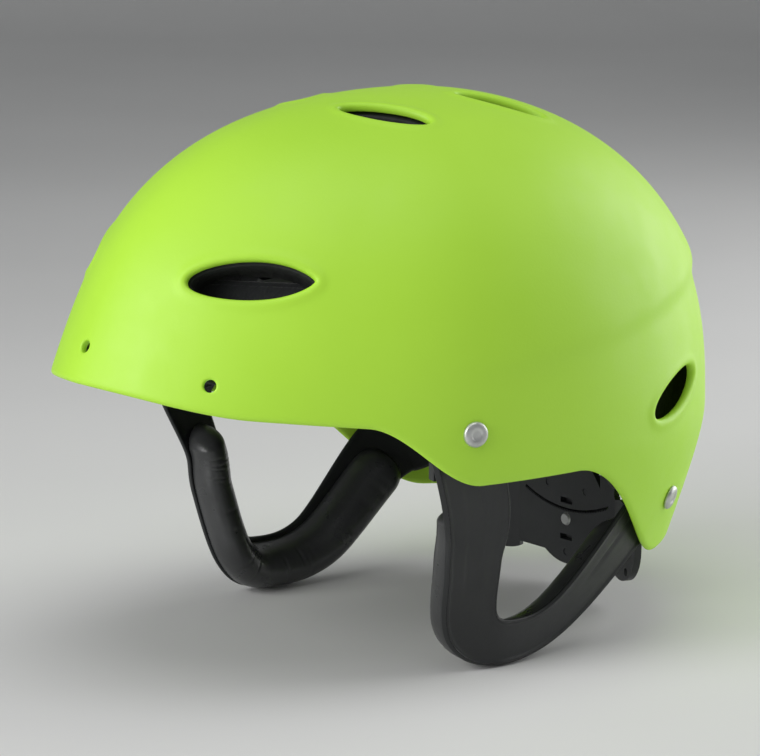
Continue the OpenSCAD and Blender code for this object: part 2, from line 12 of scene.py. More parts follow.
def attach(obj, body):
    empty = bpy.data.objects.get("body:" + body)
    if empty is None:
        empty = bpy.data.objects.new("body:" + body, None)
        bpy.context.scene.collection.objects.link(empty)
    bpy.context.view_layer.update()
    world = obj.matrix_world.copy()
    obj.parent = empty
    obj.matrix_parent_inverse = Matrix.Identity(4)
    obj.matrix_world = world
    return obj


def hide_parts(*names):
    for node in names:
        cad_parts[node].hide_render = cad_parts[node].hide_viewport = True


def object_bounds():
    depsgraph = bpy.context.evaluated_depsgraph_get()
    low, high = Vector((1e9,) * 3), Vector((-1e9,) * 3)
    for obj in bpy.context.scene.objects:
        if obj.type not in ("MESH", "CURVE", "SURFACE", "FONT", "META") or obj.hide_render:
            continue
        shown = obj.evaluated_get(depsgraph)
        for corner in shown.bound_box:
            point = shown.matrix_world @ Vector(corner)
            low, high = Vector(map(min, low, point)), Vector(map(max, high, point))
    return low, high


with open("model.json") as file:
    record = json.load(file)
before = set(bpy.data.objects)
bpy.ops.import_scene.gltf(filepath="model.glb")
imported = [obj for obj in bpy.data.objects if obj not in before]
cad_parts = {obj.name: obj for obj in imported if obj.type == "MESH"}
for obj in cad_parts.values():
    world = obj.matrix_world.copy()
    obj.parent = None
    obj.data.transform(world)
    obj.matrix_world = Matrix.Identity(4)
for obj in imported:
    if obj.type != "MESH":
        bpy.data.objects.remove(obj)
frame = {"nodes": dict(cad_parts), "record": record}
cad_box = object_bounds()
MM = 0.001

# ---------------------------------------------------------------- shape rules
HALF_W, FRONT_LEN, REAR_LEN, CROWN_H = 108.0, 156.8, 136.4, 130.4
PEAK_FLARE, PEAK_TOP = 15.3, 71.7
P_SIDE, P_FRONT, P_REAR = (2.77, 1.92), (2.18, 2.64), (2.52, 2.05)
N_FRONT = 1.72
TUCK_K, TUCK_SOFT = 0.367, 15.0
BRIM_Z, TEMPLE_Z, NAPE_Z, NOTCH_H = 30.0, -9.0, -57.0, 9.0
CREASE_UP, CREASE_DOWN, CREASE_Z, CREASE_RISE = 2.6, 1.2, 34.0, 24.0
SHELL_T, LINER_GAP, LINER_T = 3.0, 1.3, 13.7
POCKET_DEPTH = 8.6
MIRROR = np.diag([-1.0, 1.0, 1.0])


def sstep(t):
    c = np.clip(t, 0.0, 1.0)
    return c * c * (3 - 2 * c)


def ramp(x, a, b):
    """Smooth step of x from a to b."""
    return sstep((x - a) / (b - a))


def fall(z, h, pq, k):
    """Share of the full width or length left at a level: a dome above 0, a slow tuck below."""
    up = np.maximum(0.0, 1 - np.clip(z / h, 0, 1) ** pq[0]) ** (1 / pq[1])
    zn = np.minimum(z, 0.0)
    return np.where(z >= 0, up, 1 - k * (np.sqrt(zn * zn + TUCK_SOFT ** 2) - TUCK_SOFT) / h)


def wide(z, d=0.0):
    return (HALF_W - d) * fall(z, CROWN_H - d, P_SIDE, TUCK_K)


def ahead(z, d=0.0, flare=PEAK_FLARE):
    lip = flare * np.where(z < PEAK_TOP, (1 - z / PEAK_TOP) ** 2, 0)
    return (FRONT_LEN - d) * fall(z, CROWN_H - d, P_FRONT, 0) + lip


def behind(z, d=0.0):
    return (REAR_LEN - d) * fall(z, CROWN_H - d, P_REAR, TUCK_K)


def turn(phi):
    return np.abs((phi + 180) % 360 - 180)


def roundness(a):
    """The plan's exponent at an angle off the front: pointed ahead, elliptical from the side back."""
    return N_FRONT + (2 - N_FRONT) * ramp(a, 40, 85)


def reach(phi, z, flare=PEAK_FLARE, d=0.0):
    """Distance of the shell's skin from the Z axis at an angle off the front (degrees) and a level."""
    a = np.maximum(1e-3, wide(z, d))
    c, s = np.cos(np.radians(phi)), np.abs(np.sin(np.radians(phi)))
    turned = turn(phi)
    b = np.maximum(1e-3, np.where(c > 0, ahead(z, d, flare), behind(z, d)))
    n = roundness(turned)
    r = ((s / a) ** n + (np.abs(c) / b) ** n) ** (-1 / n)
    line = CREASE_Z + CREASE_RISE * ramp(turned, 62, 167)
    over = z - line
    side = 1 / (1 + np.exp(-np.clip(over / 2, -60, 60)))
    w = ramp(turned, 45, 155) * np.sqrt(fall(z, CROWN_H - d, P_SIDE, 0))
    step = side * CREASE_UP * np.exp(-np.maximum(over, 0) / 35)
    step -= (1 - side) * CREASE_DOWN * np.exp(np.minimum(over, 0) / 30)
    return r + w * step


def rim(phi):
    """Level of the shell's lower edge: high brow, low temple, lowest at the nape with a notch."""
    a = turn(phi)
    return (BRIM_Z - 7.5 * ramp(a, 0, 28) - 9 * ramp(a, 8, 68)
            + (TEMPLE_Z - BRIM_Z + 16.5) * ramp(a, 46, 68)
            + (NAPE_Z - TEMPLE_Z) * ramp(a, 92, 134)
            + NOTCH_H * ramp(a, 160, 174))


def pocket(phi, z):
    """Depth cut out of the foam for the strap loops and the guards' upper ends."""
    a = turn(phi)
    return POCKET_DEPTH * ramp(-z, -40, -30) * ramp(a, 44, 52) * (1 - ramp(a, 144, 152))


# The unrolled plan: distance along the side profile from the crown, by direction.
_t = np.linspace(0, math.pi / 2, 1500)
_z = np.concatenate([CROWN_H * np.cos(_t), np.linspace(-0.2, -100, 500)])
_r = wide(_z)
_s = np.concatenate([[0], np.cumsum(np.hypot(np.diff(_z), np.diff(_r)))])


def level_of(s):
    return np.interp(s, _s, _z)


def run_of(z):
    return np.interp(-np.asarray(z), -_z, _s)


def plan(phi, z):
    s = run_of(z)
    return np.stack([s * np.sin(np.radians(phi)), -s * np.cos(np.radians(phi))], -1)


def polar(uv):
    return np.degrees(np.arctan2(uv[..., 0], -uv[..., 1])), level_of(np.hypot(uv[..., 0], uv[..., 1]))


def skin(uv, flare=PEAK_FLARE):
    phi, z = polar(uv)
    r = reach(phi, z, flare)
    return np.stack([r * np.sin(np.radians(phi)), -r * np.cos(np.radians(phi)), z], -1)


def unit(v):
    return v / np.maximum(1e-12, np.linalg.norm(v, axis=-1, keepdims=True))


def normal(uv, flare=PEAK_FLARE, h=0.8):
    du, dv = np.array([h, 0.0]), np.array([0.0, h])
    return unit(np.cross(skin(uv + du, flare) - skin(uv - du, flare),
                         skin(uv + dv, flare) - skin(uv - dv, flare)))


def below(uv, depth, flare=PEAK_FLARE):
    """Points under the skin, by a depth measured along its normal."""
    return skin(uv, flare) - normal(uv, flare) * np.asarray(depth)[..., None]


def rotation(axis, degrees):
    return np.array(Matrix.Rotation(math.radians(degrees), 3, axis))


def on_skin(frame_o, frame_m, x, y):
    """Where lines along a tool frame's Z axis, through (x, y), meet the skin, as plan points."""
    base = frame_o + x[:, None] * frame_m[:, 0] + y[:, None] * frame_m[:, 1]
    lo, hi = np.full(len(x), -30.0), np.full(len(x), 30.0)
    for _ in range(44):
        mid = (lo + hi) / 2
        p = base + mid[:, None] * frame_m[:, 2]
        phi = np.degrees(np.arctan2(p[:, 0], -p[:, 1]))
        z = np.minimum(p[:, 2], CROWN_H - 1e-6)
        out = np.hypot(p[:, 0], p[:, 1]) - reach(phi, z) + np.maximum(0, p[:, 2] - CROWN_H) * 50
        hi = np.where(out > 0, mid, hi)
        lo = np.where(out > 0, lo, mid)
    p = base + lo[:, None] * frame_m[:, 2]
    return plan(np.degrees(np.arctan2(p[:, 0], -p[:, 1])), p[:, 2])


# ---------------------------------------------------------------- mesh helpers
def mesh_object(name, verts, faces, smooth=True):
    """New mesh in the scene from millimetre points, welded and facing outwards."""
    verts = np.asarray(verts, float) * MM
    mesh = bpy.data.meshes.new(name)
    mesh.from_pydata([tuple(v) for v in verts], [], [tuple(f) for f in faces])
    bm = bmesh.new()
    bm.from_mesh(mesh)
    bmesh.ops.remove_doubles(bm, verts=bm.verts, dist=2e-6)
    bmesh.ops.recalc_face_normals(bm, faces=bm.faces)
    bm.to_mesh(mesh)
    bm.free()
    if smooth:
        mesh.polygons.foreach_set("use_smooth", [True] * len(mesh.polygons))
    mesh.update()
    obj = bpy.data.objects.new(name, mesh)
    bpy.context.scene.collection.objects.link(obj)
    return obj


def grid_faces(rows, cols, base=0, wrap=False):
    """Quads between rows of points; wrap closes each row into a ring."""
    out = []
    for i in range(rows - 1):
        for j in range(cols if wrap else cols - 1):
            k = (j + 1) % cols
            out.append((base + i * cols + j, base + i * cols + k,
                        base + (i + 1) * cols + k, base + (i + 1) * cols + j))
    return out


def end_caps(rows, cols):
    """Faces that close both ends of a tube made by grid_faces(rows, cols, wrap=True)."""
    return [tuple(range(cols)), tuple(reversed(range((rows - 1) * cols, rows * cols)))]


def settle(obj, body, node=None):
    """The piece moves with a CAD body, and may stand in for a CAD node."""
    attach(obj, body)
    if node:
        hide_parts(node)


def tool_frame(origin, *turns):
    m = np.eye(3)
    for axis, degrees in turns:
        m = m @ rotation(axis, degrees)
    return np.array(origin, float), m


def mirrored(o, m):
    return o * [-1, 1, 1], MIRROR @ m


def oval(length, width, blunt=1.0, sharp=1.0):
    """Closed outline with a round end at -x and, when sharp is above 1, a pointed end at +x."""
    def at(grow, count):
        t = np.linspace(0, 2 * math.pi, count, endpoint=False)
        side = 0.5 + 0.5 * np.cos(t)
        power = blunt + (sharp - blunt) * side
        x, y = length / 2 * np.cos(t), width / 2 * np.sign(np.sin(t)) * np.abs(np.sin(t)) ** power
        dx, dy = np.roll(x, -1) - np.roll(x, 1), np.roll(y, -1) - np.roll(y, 1)
        size = np.maximum(1e-9, np.hypot(dx, dy))
        return x + grow * dy / size, y - grow * dx / size
    return at


def pair(origin, turns, outline, count, through):
    """An opening on each side: tool frame, outline, points round it, and whether it cuts the liner too."""
    first = tool_frame(origin, *turns)
    return [(first, outline, count, through), (mirrored(*first), outline, count, through)]


OPENINGS = (
    pair((48.9, -111, 70.7), (("Z", 46.5), ("X", 63.4), ("Z", 1.2)), oval(49, 15.5, 1.0, 1.45), 128, True)
    + pair((27, -29.5, 124.7), (("Y", 15.6), ("X", 6.3), ("Z", 42)), oval(36.5, 13.5), 96, True)
    + pair((26, 30, 124), (("Y", 8), ("Z", 56), ("X", -10)), oval(36, 13), 96, True)
    + pair((93.5, 67, 12.5), (("Z", 36), ("Y", 84), ("Z", 90), ("Z", 16)), oval(39, 14), 96, True)
    + pair((50.387, -131.261, 33.0), (("Z", 44.65), ("X", 73.79)), oval(5, 5), 32, False)
    + [(tool_frame((0, -153.717, 43.2), ("X", 65.51)), oval(5, 5), 32, False)])

# Edge sections: distance from the opening's wall, and depth under the skin
LIP = [(6.5, 0), (5.2, -0.06), (4.2, -0.22), (3.3, -0.42), (2.5, -0.55), (1.8, -0.56), (1.2, -0.42),
       (0.7, -0.14), (0.3, 0.3), (0.07, 0.85), (0.0, 1.5), (0.05, 2.3), (0.3, 2.8), (0.8, 3.0), (6.5, 3.0)]
PLAIN_LIP = [(2.6, 0), (1.2, 0), (0.7, 0.02), (0.35, 0.12), (0.12, 0.35), (0.0, 0.7), (0.0, 2.4),
             (0.15, 2.8), (0.5, 3.0), (2.6, 3.0)]
RIM_EDGE = [(7.0, 0), (5.0, 0), (3.6, 0), (2.6, 0), (1.9, 0.03), (1.3, 0.12), (0.8, 0.3), (0.4, 0.62), (0.12, 1.0),
            (0.0, 1.5), (0.12, 2.0), (0.4, 2.45), (0.9, 2.8), (1.8, 3.0), (7.0, 3.0)]


def rim_ring(up, count, edge):
    """Ring at a distance above a lower edge, measured square to it."""
    phi = np.linspace(-180, 180, count, endpoint=False)
    slope = (edge(phi + 0.5) - edge(phi - 0.5)) / np.radians(reach(phi, edge(phi)))
    steep = np.sqrt(1 + np.minimum(np.abs(slope), 2.5) ** 2)
    return plan(phi, edge(phi) + up * steep)


def in_loop(points, loop):
    """Which points lie inside a closed outline."""
    x, y = points[:, 0], points[:, 1]
    inside = np.zeros(len(points), bool)
    x0, y0 = loop[:, 0], loop[:, 1]
    x1, y1 = np.roll(x0, -1), np.roll(y0, -1)
    for a, b, c, d in zip(x0, y0, x1, y1):
        if b == d:
            continue
        cross = ((b > y) != (d > y)) & (x < (c - a) * (y - b) / (d - b) + a)
        inside ^= cross
    return inside


def hex_points(size, spacing):
    rows = int(size / (spacing * 0.866)) + 1
    out = []
    for j in range(-rows, rows + 1):
        y = j * spacing * 0.866
        x = np.arange(-size, size, spacing) + (spacing / 2 if j % 2 else 0)
        out.append(np.stack([x, np.full(len(x), y)], -1))
    return np.concatenate(out)


def clear_of_loop(points, loop, gap):
    keep = np.ones(len(points), bool)
    lo, hi = loop.min(0) - gap, loop.max(0) + gap
    box = np.all((points > lo) & (points < hi), 1)
    idx = np.where(box)[0]
    d = np.linalg.norm(points[idx][:, None] - loop[None], axis=2).min(1)
    keep[idx[d < gap]] = False
    return keep


RIM_COUNT, PLAN_SIZE = 480, 250.0


def shell_like(name, spacing, rim_section, edge, openings, depth_of, flare):
    """A closed shell with rounded openings and edge. Each opening is (frame, outline, count, section)."""
    outer = rim_ring(rim_section[0][0], RIM_COUNT, edge)
    loops = [outer]
    for om, outline, count, section in openings:
        x, y = outline(section[0][0], count)
        loops.append(on_skin(om[0], om[1], x, y))
    pts = hex_points(PLAN_SIZE, spacing)
    keep = in_loop(pts, outer) & clear_of_loop(pts, outer, spacing * 0.6)
    for loop in loops[1:]:
        keep &= ~in_loop(pts, loop) & clear_of_loop(pts, loop, spacing * 0.6)
    pts = pts[keep]
    edges, base = [], len(pts)
    for loop in loops:
        n = len(loop)
        edges += [(base + k, base + (k + 1) % n) for k in range(n)]
        base += n
    flat = np.concatenate([pts] + loops)
    v, _, f, *_ = geometry.delaunay_2d_cdt([Vector(p) for p in flat], edges, [], 0, 1e-6)
    uv = np.array([(p.x, p.y) for p in v])
    mid = np.array([uv[list(t)].mean(0) for t in f])
    good = in_loop(mid, outer)
    for loop in loops[1:]:
        good &= ~in_loop(mid, loop)
    f = [t for t, g in zip(f, good) if g]
    n = len(uv)
    top, bottom = depth_of
    verts = [below(uv, top(uv), flare), below(uv, bottom(uv), flare)]
    faces = list(f) + [tuple(n + k for k in reversed(t)) for t in f]
    base = 2 * n

    def add_rings(ring_at, section):
        nonlocal base
        rings = []
        for off, d in section:
            ruv = ring_at(off)
            t, b = top(ruv), bottom(ruv)
            depth = t + d if d < SHELL_T / 2 else b - (SHELL_T - d)
            rings.append(below(ruv, depth, flare))
        count = len(rings[0])
        verts.extend(rings)
        faces.extend(grid_faces(len(rings), count, base, wrap=True))
        base += len(rings) * count

    add_rings(lambda off: rim_ring(off, RIM_COUNT, edge), rim_section)
    for om, outline, count, section in openings:
        add_rings(lambda off: on_skin(om[0], om[1], *outline(off, count)), section)
    return mesh_object(name, np.concatenate(verts), faces)


def constant(value):
    return lambda uv: np.full(len(uv), float(value))


def make_shell():
    holes = [(om, outline, count, LIP if through else PLAIN_LIP)
             for om, outline, count, through in OPENINGS]
    obj = shell_like("outer_shell_skin", 3.0, RIM_EDGE, rim, holes,
                     (constant(0), constant(SHELL_T)), PEAK_FLARE)
    settle(obj, "helmet", "outer_shell")
    obj.data.materials.append(shell_material())


# ---------------------------------------------------------------- materials
def new_material(name):
    mat = bpy.data.materials.new(name)
    mat.use_nodes = True
    tree = mat.node_tree
    tree.nodes.clear()
    out = tree.nodes.new("ShaderNodeOutputMaterial")
    bsdf = tree.nodes.new("ShaderNodeBsdfPrincipled")
    tree.links.new(bsdf.outputs[0], out.inputs[0])
    return mat, tree, bsdf


def add(tree, kind, **values):
    node = tree.nodes.new(kind)
    for key, value in values.items():
        if hasattr(node, key):
            setattr(node, key, value)
        else:
            node.inputs[key.replace("_", " ")].default_value = value
    return node


def noise(tree, scale, detail=3.0, rough=0.5, distortion=0.0):
    coord = add(tree, "ShaderNodeTexCoord")
    node = add(tree, "ShaderNodeTexNoise", Scale=scale, Detail=detail, Roughness=rough, Distortion=distortion)
    tree.links.new(coord.outputs["Object"], node.inputs["Vector"])
    return node.outputs["Fac"]


def spread(tree, value, low, high, start=0.35, end=0.65):
    """Carries a 0-1 pattern onto the range low..high."""
    node = add(tree, "ShaderNodeMapRange")
    node.inputs["From Min"].default_value = start
    node.inputs["From Max"].default_value = end
    node.inputs["To Min"].default_value = low
    node.inputs["To Max"].default_value = high
    tree.links.new(value, node.inputs["Value"])
    return node.outputs["Result"]


def two_tone(tree, value, dark, light, start=0.3, end=0.7):
    ramp_node = add(tree, "ShaderNodeValToRGB")
    ramp_node.color_ramp.elements[0].position = start
    ramp_node.color_ramp.elements[1].position = end
    ramp_node.color_ramp.elements[0].color = (*dark, 1)
    ramp_node.color_ramp.elements[1].color = (*light, 1)
    tree.links.new(value, ramp_node.inputs["Fac"])
    return ramp_node.outputs["Color"]


def bump(tree, bsdf, height, distance, strength=1.0, after=None):
    node = add(tree, "ShaderNodeBump", Strength=strength, Distance=distance)
    tree.links.new(height, node.inputs["Height"])
    if after is not None:
        tree.links.new(after, node.inputs["Normal"])
    tree.links.new(node.outputs["Normal"], bsdf.inputs["Normal"])
    return node.outputs["Normal"]


def shell_material():
    """Fluorescent moulded plastic: a yellow-green that deepens slowly across the part, with a fine satin skin and a
    faint painted glow from emission.
    """
    mat, tree, bsdf = new_material("shell_fluorescent_painted_glow")
    broad = noise(tree, 7.0, 2.0)
    tree.links.new(two_tone(tree, broad, (0.41, 0.75, 0.040), (0.47, 0.82, 0.052)), bsdf.inputs["Base Color"])
    fine = noise(tree, 900.0, 4.0, 0.6)
    tree.links.new(spread(tree, noise(tree, 60.0, 5.0, 0.65), 0.44, 0.54), bsdf.inputs["Roughness"])
    bsdf.inputs["Specular IOR Level"].default_value = 0.5
    # Painted glow: a weak lime emission makes the shell give off light of its own, as if it were a lamp.
    bsdf.inputs["Emission Color"].default_value = (0.5, 0.9, 0.05, 1)
    bsdf.inputs["Emission Strength"].default_value = 0.04
    first = bump(tree, bsdf, fine, 0.00004)
    bump(tree, bsdf, noise(tree, 26.0, 2.0), 0.0006, 0.25, first)
    return mat


def dark_plastic(name, dark, light, roughness, grain, depth):
    mat, tree, bsdf = new_material(name)
    tree.links.new(two_tone(tree, noise(tree, 22.0, 4.0), dark, light), bsdf.inputs["Base Color"])
    tree.links.new(spread(tree, noise(tree, 90.0, 4.0, 0.6), roughness - 0.05, roughness + 0.06),
                   bsdf.inputs["Roughness"])
    first = bump(tree, bsdf, noise(tree, grain, 3.0, 0.6), depth)
    bump(tree, bsdf, noise(tree, 40.0, 2.0), 0.0008, 0.2, first)
    return mat


def steel_material():
    mat, tree, bsdf = new_material("rivet_steel")
    tree.links.new(two_tone(tree, noise(tree, 160.0, 4.0), (0.50, 0.51, 0.50), (0.68, 0.69, 0.67)),
                   bsdf.inputs["Base Color"])
    bsdf.inputs["Metallic"].default_value = 0.85
    tree.links.new(spread(tree, noise(tree, 400.0, 4.0, 0.7), 0.34, 0.52), bsdf.inputs["Roughness"])
    bump(tree, bsdf, noise(tree, 1500.0, 3.0), 0.00002)
    return mat


def foam_material():
    """Moulded bead foam: small cells packed side by side."""
    mat, tree, bsdf = new_material("liner_foam")
    coord = add(tree, "ShaderNodeTexCoord")
    cells = add(tree, "ShaderNodeTexVoronoi", Scale=330.0)
    tree.links.new(coord.outputs["Object"], cells.inputs["Vector"])
    tree.links.new(two_tone(tree, noise(tree, 30.0, 4.0), (0.018, 0.019, 0.020), (0.036, 0.037, 0.038)),
                   bsdf.inputs["Base Color"])
    bsdf.inputs["Roughness"].default_value = 0.82
    bump(tree, bsdf, cells.outputs["Distance"], 0.0006, 0.7)
    return mat


def base_materials():
    """One material for every CAD node that is still shown."""
    guard = dark_plastic("guard_plastic", (0.011, 0.0125, 0.013), (0.020, 0.022, 0.023), 0.42, 700.0, 0.00006)
    cradle = dark_plastic("cradle_plastic", (0.018, 0.020, 0.021), (0.032, 0.034, 0.036), 0.46, 800.0, 0.00005)
    steel = steel_material()
    foam = foam_material()
    return {"shell": shell_material(), "steel": steel, "guard": guard, "bead": guard, "liner": foam,
            "cradle": cradle, "buckle": cradle, "pad": foam, "webbing": cradle}


def dress_cad():
    """Procedural materials for every CAD node by its slot in the record."""
    by_slot = base_materials()
    for row in frame["record"]["subparts"]:
        node = frame["nodes"][row["node"]]
        node.data.materials.clear()
        node.data.materials.append(by_slot[row["material_slot"]])
    return by_slot


# ---------------------------------------------------------------- ear guards
# Middle line of a guard: y, z, half width, and how far the outer and inner edges lean inwards
GUARD_LINE = np.array([[-47, 27, 13, 0, 0], [-46.5, 9, 13.4, 0, 0], [-35.4, -25.2, 12, 5, 0.4],
                       [-34.2, -44.7, 11, 3.4, 0.5], [-28.8, -71.2, 10.7, 4.2, 1.4], [-13.2, -79.7, 10, 0.8, 0.6],
                       [15.6, -73.7, 10.2, 3, 2.3], [54, -41.5, 13.6, 0.5, 3], [68, -35, 14.4, 0, 2],
                       [82.9, -29.4, 11, 0, 0]], float)
GUARD_D, GUARD_T = 3.4, 2.8
BEAD_FROM, BEAD_TO, BEAD_HALF, BEAD_H = 1.8, 7.0, 9.0, 15.0
LAST = len(GUARD_LINE) - 1.001


def spline(u):
    """The guard's middle line and half width at u, counted in knots from the temple."""
    u = np.clip(u, 0, LAST)
    k = np.floor(u).astype(int)
    t = (u - k)[:, None]
    knot = lambda i: GUARD_LINE[np.clip(i, 0, len(GUARD_LINE) - 1)]
    a, b, c, d = knot(k - 1), knot(k), knot(k + 1), knot(k + 2)
    return b + 0.5 * t * (c - a + t * (2 * a - 5 * b + 4 * c - d + t * (3 * (b - c) + d - a)))


def flank(y, z, d):
    """Distance from the middle plane of the shell's skin, carried on downwards, inset by d."""
    a = wide(z, d)
    b = np.where(y < 0, ahead(z, d, 0.0), behind(z, d))
    x = a
    for _ in range(3):
        n = roundness(np.degrees(np.arctan2(x, -y)))
        x = a * np.maximum(0, 1 - (np.abs(y) / b) ** n) ** (1 / n)
    return x


def guard_points(u, across, d):
    """Points of a guard: u along it, across in mm (+ towards the ear), d deep under the skin."""
    c = spline(u)
    t = unit(spline(np.minimum(u + 0.02, LAST))[:, :2] - spline(np.maximum(u - 0.02, 0))[:, :2])
    y, z = c[:, 0] - t[:, 1] * across, c[:, 1] + t[:, 0] * across
    s = 0.5 + 0.5 * across / c[:, 2]
    return np.stack([flank(y, z, d) - (1 - s) * c[:, 3] - s * c[:, 4], y, z], -1)


def guard_profile(w, u):
    """Section of the guard's sheet: offsets across and depths, once round."""
    r = GUARD_T / 2
    s = min(1.0, w / 7)
    bend = np.linspace(0, math.pi, 9)
    # from the outer edge's flange over the face to the inner edge, then back underneath
    e = np.array([0.9, 1.6, 2.0, 2.4, 2.9, 3.6, 5.0]) * s
    drop = np.array([0.0, 0.02, 0.12, 0.45, 0.7, 0.78, 0.8])
    mid = np.linspace(-1, 1, 15)
    recess = 0.75 * ramp(u, 1.25, 1.5) * (1 - ramp(u, 3.1, 3.5))
    groove = 0.7 * ramp(u, 6.3, 6.6) * (1 - ramp(u, 8.0, 8.3))
    inner = w - 5.0 * s
    face_q = mid * inner
    face_d = 0.8 + recess * ramp(0.62 - np.abs(mid), 0, 0.12)
    face_d += groove * np.exp(-((face_q - 0.25 * w) / 0.9) ** 2)
    q = np.concatenate([-w + e, face_q, w - e[::-1], w - r * s * (1 - np.sin(bend))])
    d = np.concatenate([drop, face_d, drop[::-1], r - r * np.cos(bend)])
    back_q = np.linspace(w - 2 * s, -w + 2 * s, 12)
    back_d = np.full(12, GUARD_T)
    edge_q = -w + r * s * (1 - np.sin(bend))
    edge_d = r + r * np.cos(bend)
    return np.concatenate([q, back_q, edge_q]), np.concatenate([d, back_d, edge_d])


def guard_sheet(name, side, mat):
    """The guard's looped moulding, with rounded ends."""
    ends = np.linspace(0, 1, 14) ** 1.6
    u = np.concatenate([ends * 0.45, np.linspace(0.5, LAST - 0.55, 150), LAST - 0.5 * ends[::-1]])
    rows = []
    for at in u:
        w = float(spline(np.array([at]))[0, 2])
        near = min(1.0, at / 0.45, (LAST - at) / 0.5)
        w *= math.sqrt(max(0.0004, 1 - (1 - near) ** 2))
        q, d = guard_profile(w, at)
        rows.append(guard_points(np.full(len(q), at), q, GUARD_D + d))
    faces = grid_faces(len(rows), len(rows[0]), wrap=True) + end_caps(len(rows), len(rows[0]))
    obj = mesh_object(name, np.concatenate(rows) * [side, 1, 1], faces)
    obj.data.materials.append(mat)
    return obj


def guard_bead(name, side, mat, seed):
    """Soft tube along the guard's inner face, creased a little where it bends."""
    rng = np.random.default_rng(seed)
    cap = lambda x: math.sqrt(max(0.0, 1 - (1 - min(1.0, x)) ** 2))
    us = np.linspace(BEAD_FROM, BEAD_TO, 260)
    folds = [(rng.uniform(BEAD_FROM + 0.3, BEAD_TO - 0.3), rng.uniform(0.012, 0.03), rng.uniform(0.12, 0.4),
              rng.uniform(-0.6, 1.0)) for _ in range(34)]
    v = np.linspace(0, math.pi, 25)
    rows = []
    for at in us:
        c = max(0.03, cap((at - BEAD_FROM) / 0.22) * cap((BEAD_TO - at) / 0.3))
        q = -np.cos(v)
        h = np.sin(v) ** 0.85
        for centre, span, depth, lean in folds:
            crease = np.exp(-((at - centre) / span) ** 2) * np.exp(-((q - lean) / 0.5) ** 2)
            h = h - depth / BEAD_H * crease * np.sin(v)
        across = q * BEAD_HALF * c
        top = np.concatenate([across, across[::-1][1:-1]])
        lift = np.concatenate([0.4 + (BEAD_H - 0.5) * c * np.maximum(h, 0.0), np.zeros(len(v) - 2)])
        rows.append(guard_points(np.full(len(top), at), top - 1, GUARD_D + GUARD_T + 0.3 + lift))
    faces = grid_faces(len(rows), len(rows[0]), wrap=True) + end_caps(len(rows), len(rows[0]))
    obj = mesh_object(name, np.concatenate(rows) * [side, 1, 1], faces)
    obj.data.materials.append(mat)
    return obj


def bead_material():
    """Skinned foam: a dark sleeve with a soft sheen."""
    mat, tree, bsdf = new_material("bead_skin")
    tree.links.new(two_tone(tree, noise(tree, 45.0, 3.0), (0.036, 0.037, 0.038), (0.052, 0.054, 0.055)),
                   bsdf.inputs["Base Color"])
    tree.links.new(spread(tree, noise(tree, 120.0, 4.0), 0.27, 0.37), bsdf.inputs["Roughness"])
    first = bump(tree, bsdf, noise(tree, 110.0, 4.0, 0.55, 0.6), 0.0004, 0.5)
    bump(tree, bsdf, noise(tree, 1100.0, 2.0), 0.00003, 0.6, first)
    return mat


def make_guards(by_slot):
    skin_mat = bead_material()
    for side, word, seed in ((1, "left", 5), (-1, "right", 11)):
        guard = guard_sheet("guard_" + word, side, by_slot["guard"])
        settle(guard, "helmet", "ear_guard_" + word)
        bead = guard_bead("bead_" + word, side, skin_mat, seed)
        settle(bead, "helmet", "ear_bead_" + word)


# ---------------------------------------------------------------- foam liner
LINER_LIFT, LINER_NAPE = 10.0, -27.0


def liner_edge(phi):
    """The foam's lower edge: above the shell's edge, and level round the nape."""
    e = rim(phi) + LINER_LIFT
    return e + (LINER_NAPE - e) * ramp(turn(phi), 112, 132)


LINER_RIM = [(5.0, 0), (2.6, 0), (1.4, 0.06), (0.7, 0.25), (0.25, 0.6), (0.0, 1.1), (0.0, 1.9),
             (0.25, 2.4), (0.8, 2.75), (1.8, 3.0), (5.0, 3.0)]
LINER_HOLE = [(2.5, 0), (0.6, 0), (0.15, 0.2), (0.0, 0.6), (0.0, 2.2), (0.4, 2.7), (1.2, 3.0), (2.5, 3.0)]
CHANNEL_X, CHANNEL_W, CHANNEL_D = 36.0, 9.0, 3.2


def liner_top(uv):
    phi, z = polar(uv)
    return SHELL_T + LINER_GAP + pocket(phi, z)


def liner_bottom(uv):
    """Inner face: two air channels from the brow vents to the rear, one crossing them, and moulded steps."""
    p = skin(uv, 0.0)
    long_way = ramp(CHANNEL_W - np.abs(np.abs(p[:, 0]) - CHANNEL_X), 0, 3.0) * ramp(p[:, 2], 52, 66)
    cross = ramp(CHANNEL_W - 2 - np.abs(p[:, 1] - 2), 0, 3.0) * ramp(p[:, 2], 60, 72)
    grid = ramp(0.9 - np.abs((p[:, 2] - 4) % 22 - 11), 0, 0.9)
    grid = grid * ramp(p[:, 2], -30, -20) * (1 - ramp(p[:, 2], 44, 56))
    return SHELL_T + LINER_GAP + LINER_T - CHANNEL_D * np.maximum(long_way, cross) - 1.2 * grid


def make_liner(foam):
    holes = [(om, lambda off, n, o=outline: o(off - 0.5, n), count, LINER_HOLE)
             for om, outline, count, through in OPENINGS if through]
    obj = shell_like("liner_moulded", 3.2, LINER_RIM, liner_edge, holes, (liner_top, liner_bottom), 0.0)
    obj.data.materials.append(foam)
    settle(obj, "helmet", "impact_liner")


# ---------------------------------------------------------------- small hardware
def lathe(name, profile, origin, m, steps=48):
    """Turned piece: (radius, height) pairs about a tool frame's Z axis."""
    rows = []
    for r, h in profile:
        t = np.linspace(0, 2 * math.pi, steps, endpoint=False)
        rows.append(origin + r * np.cos(t)[:, None] * m[:, 0] + r * np.sin(t)[:, None] * m[:, 1] + h * m[:, 2])
    faces = grid_faces(len(rows), steps, wrap=True) + end_caps(len(rows), steps)
    return mesh_object(name, np.concatenate(rows), faces)


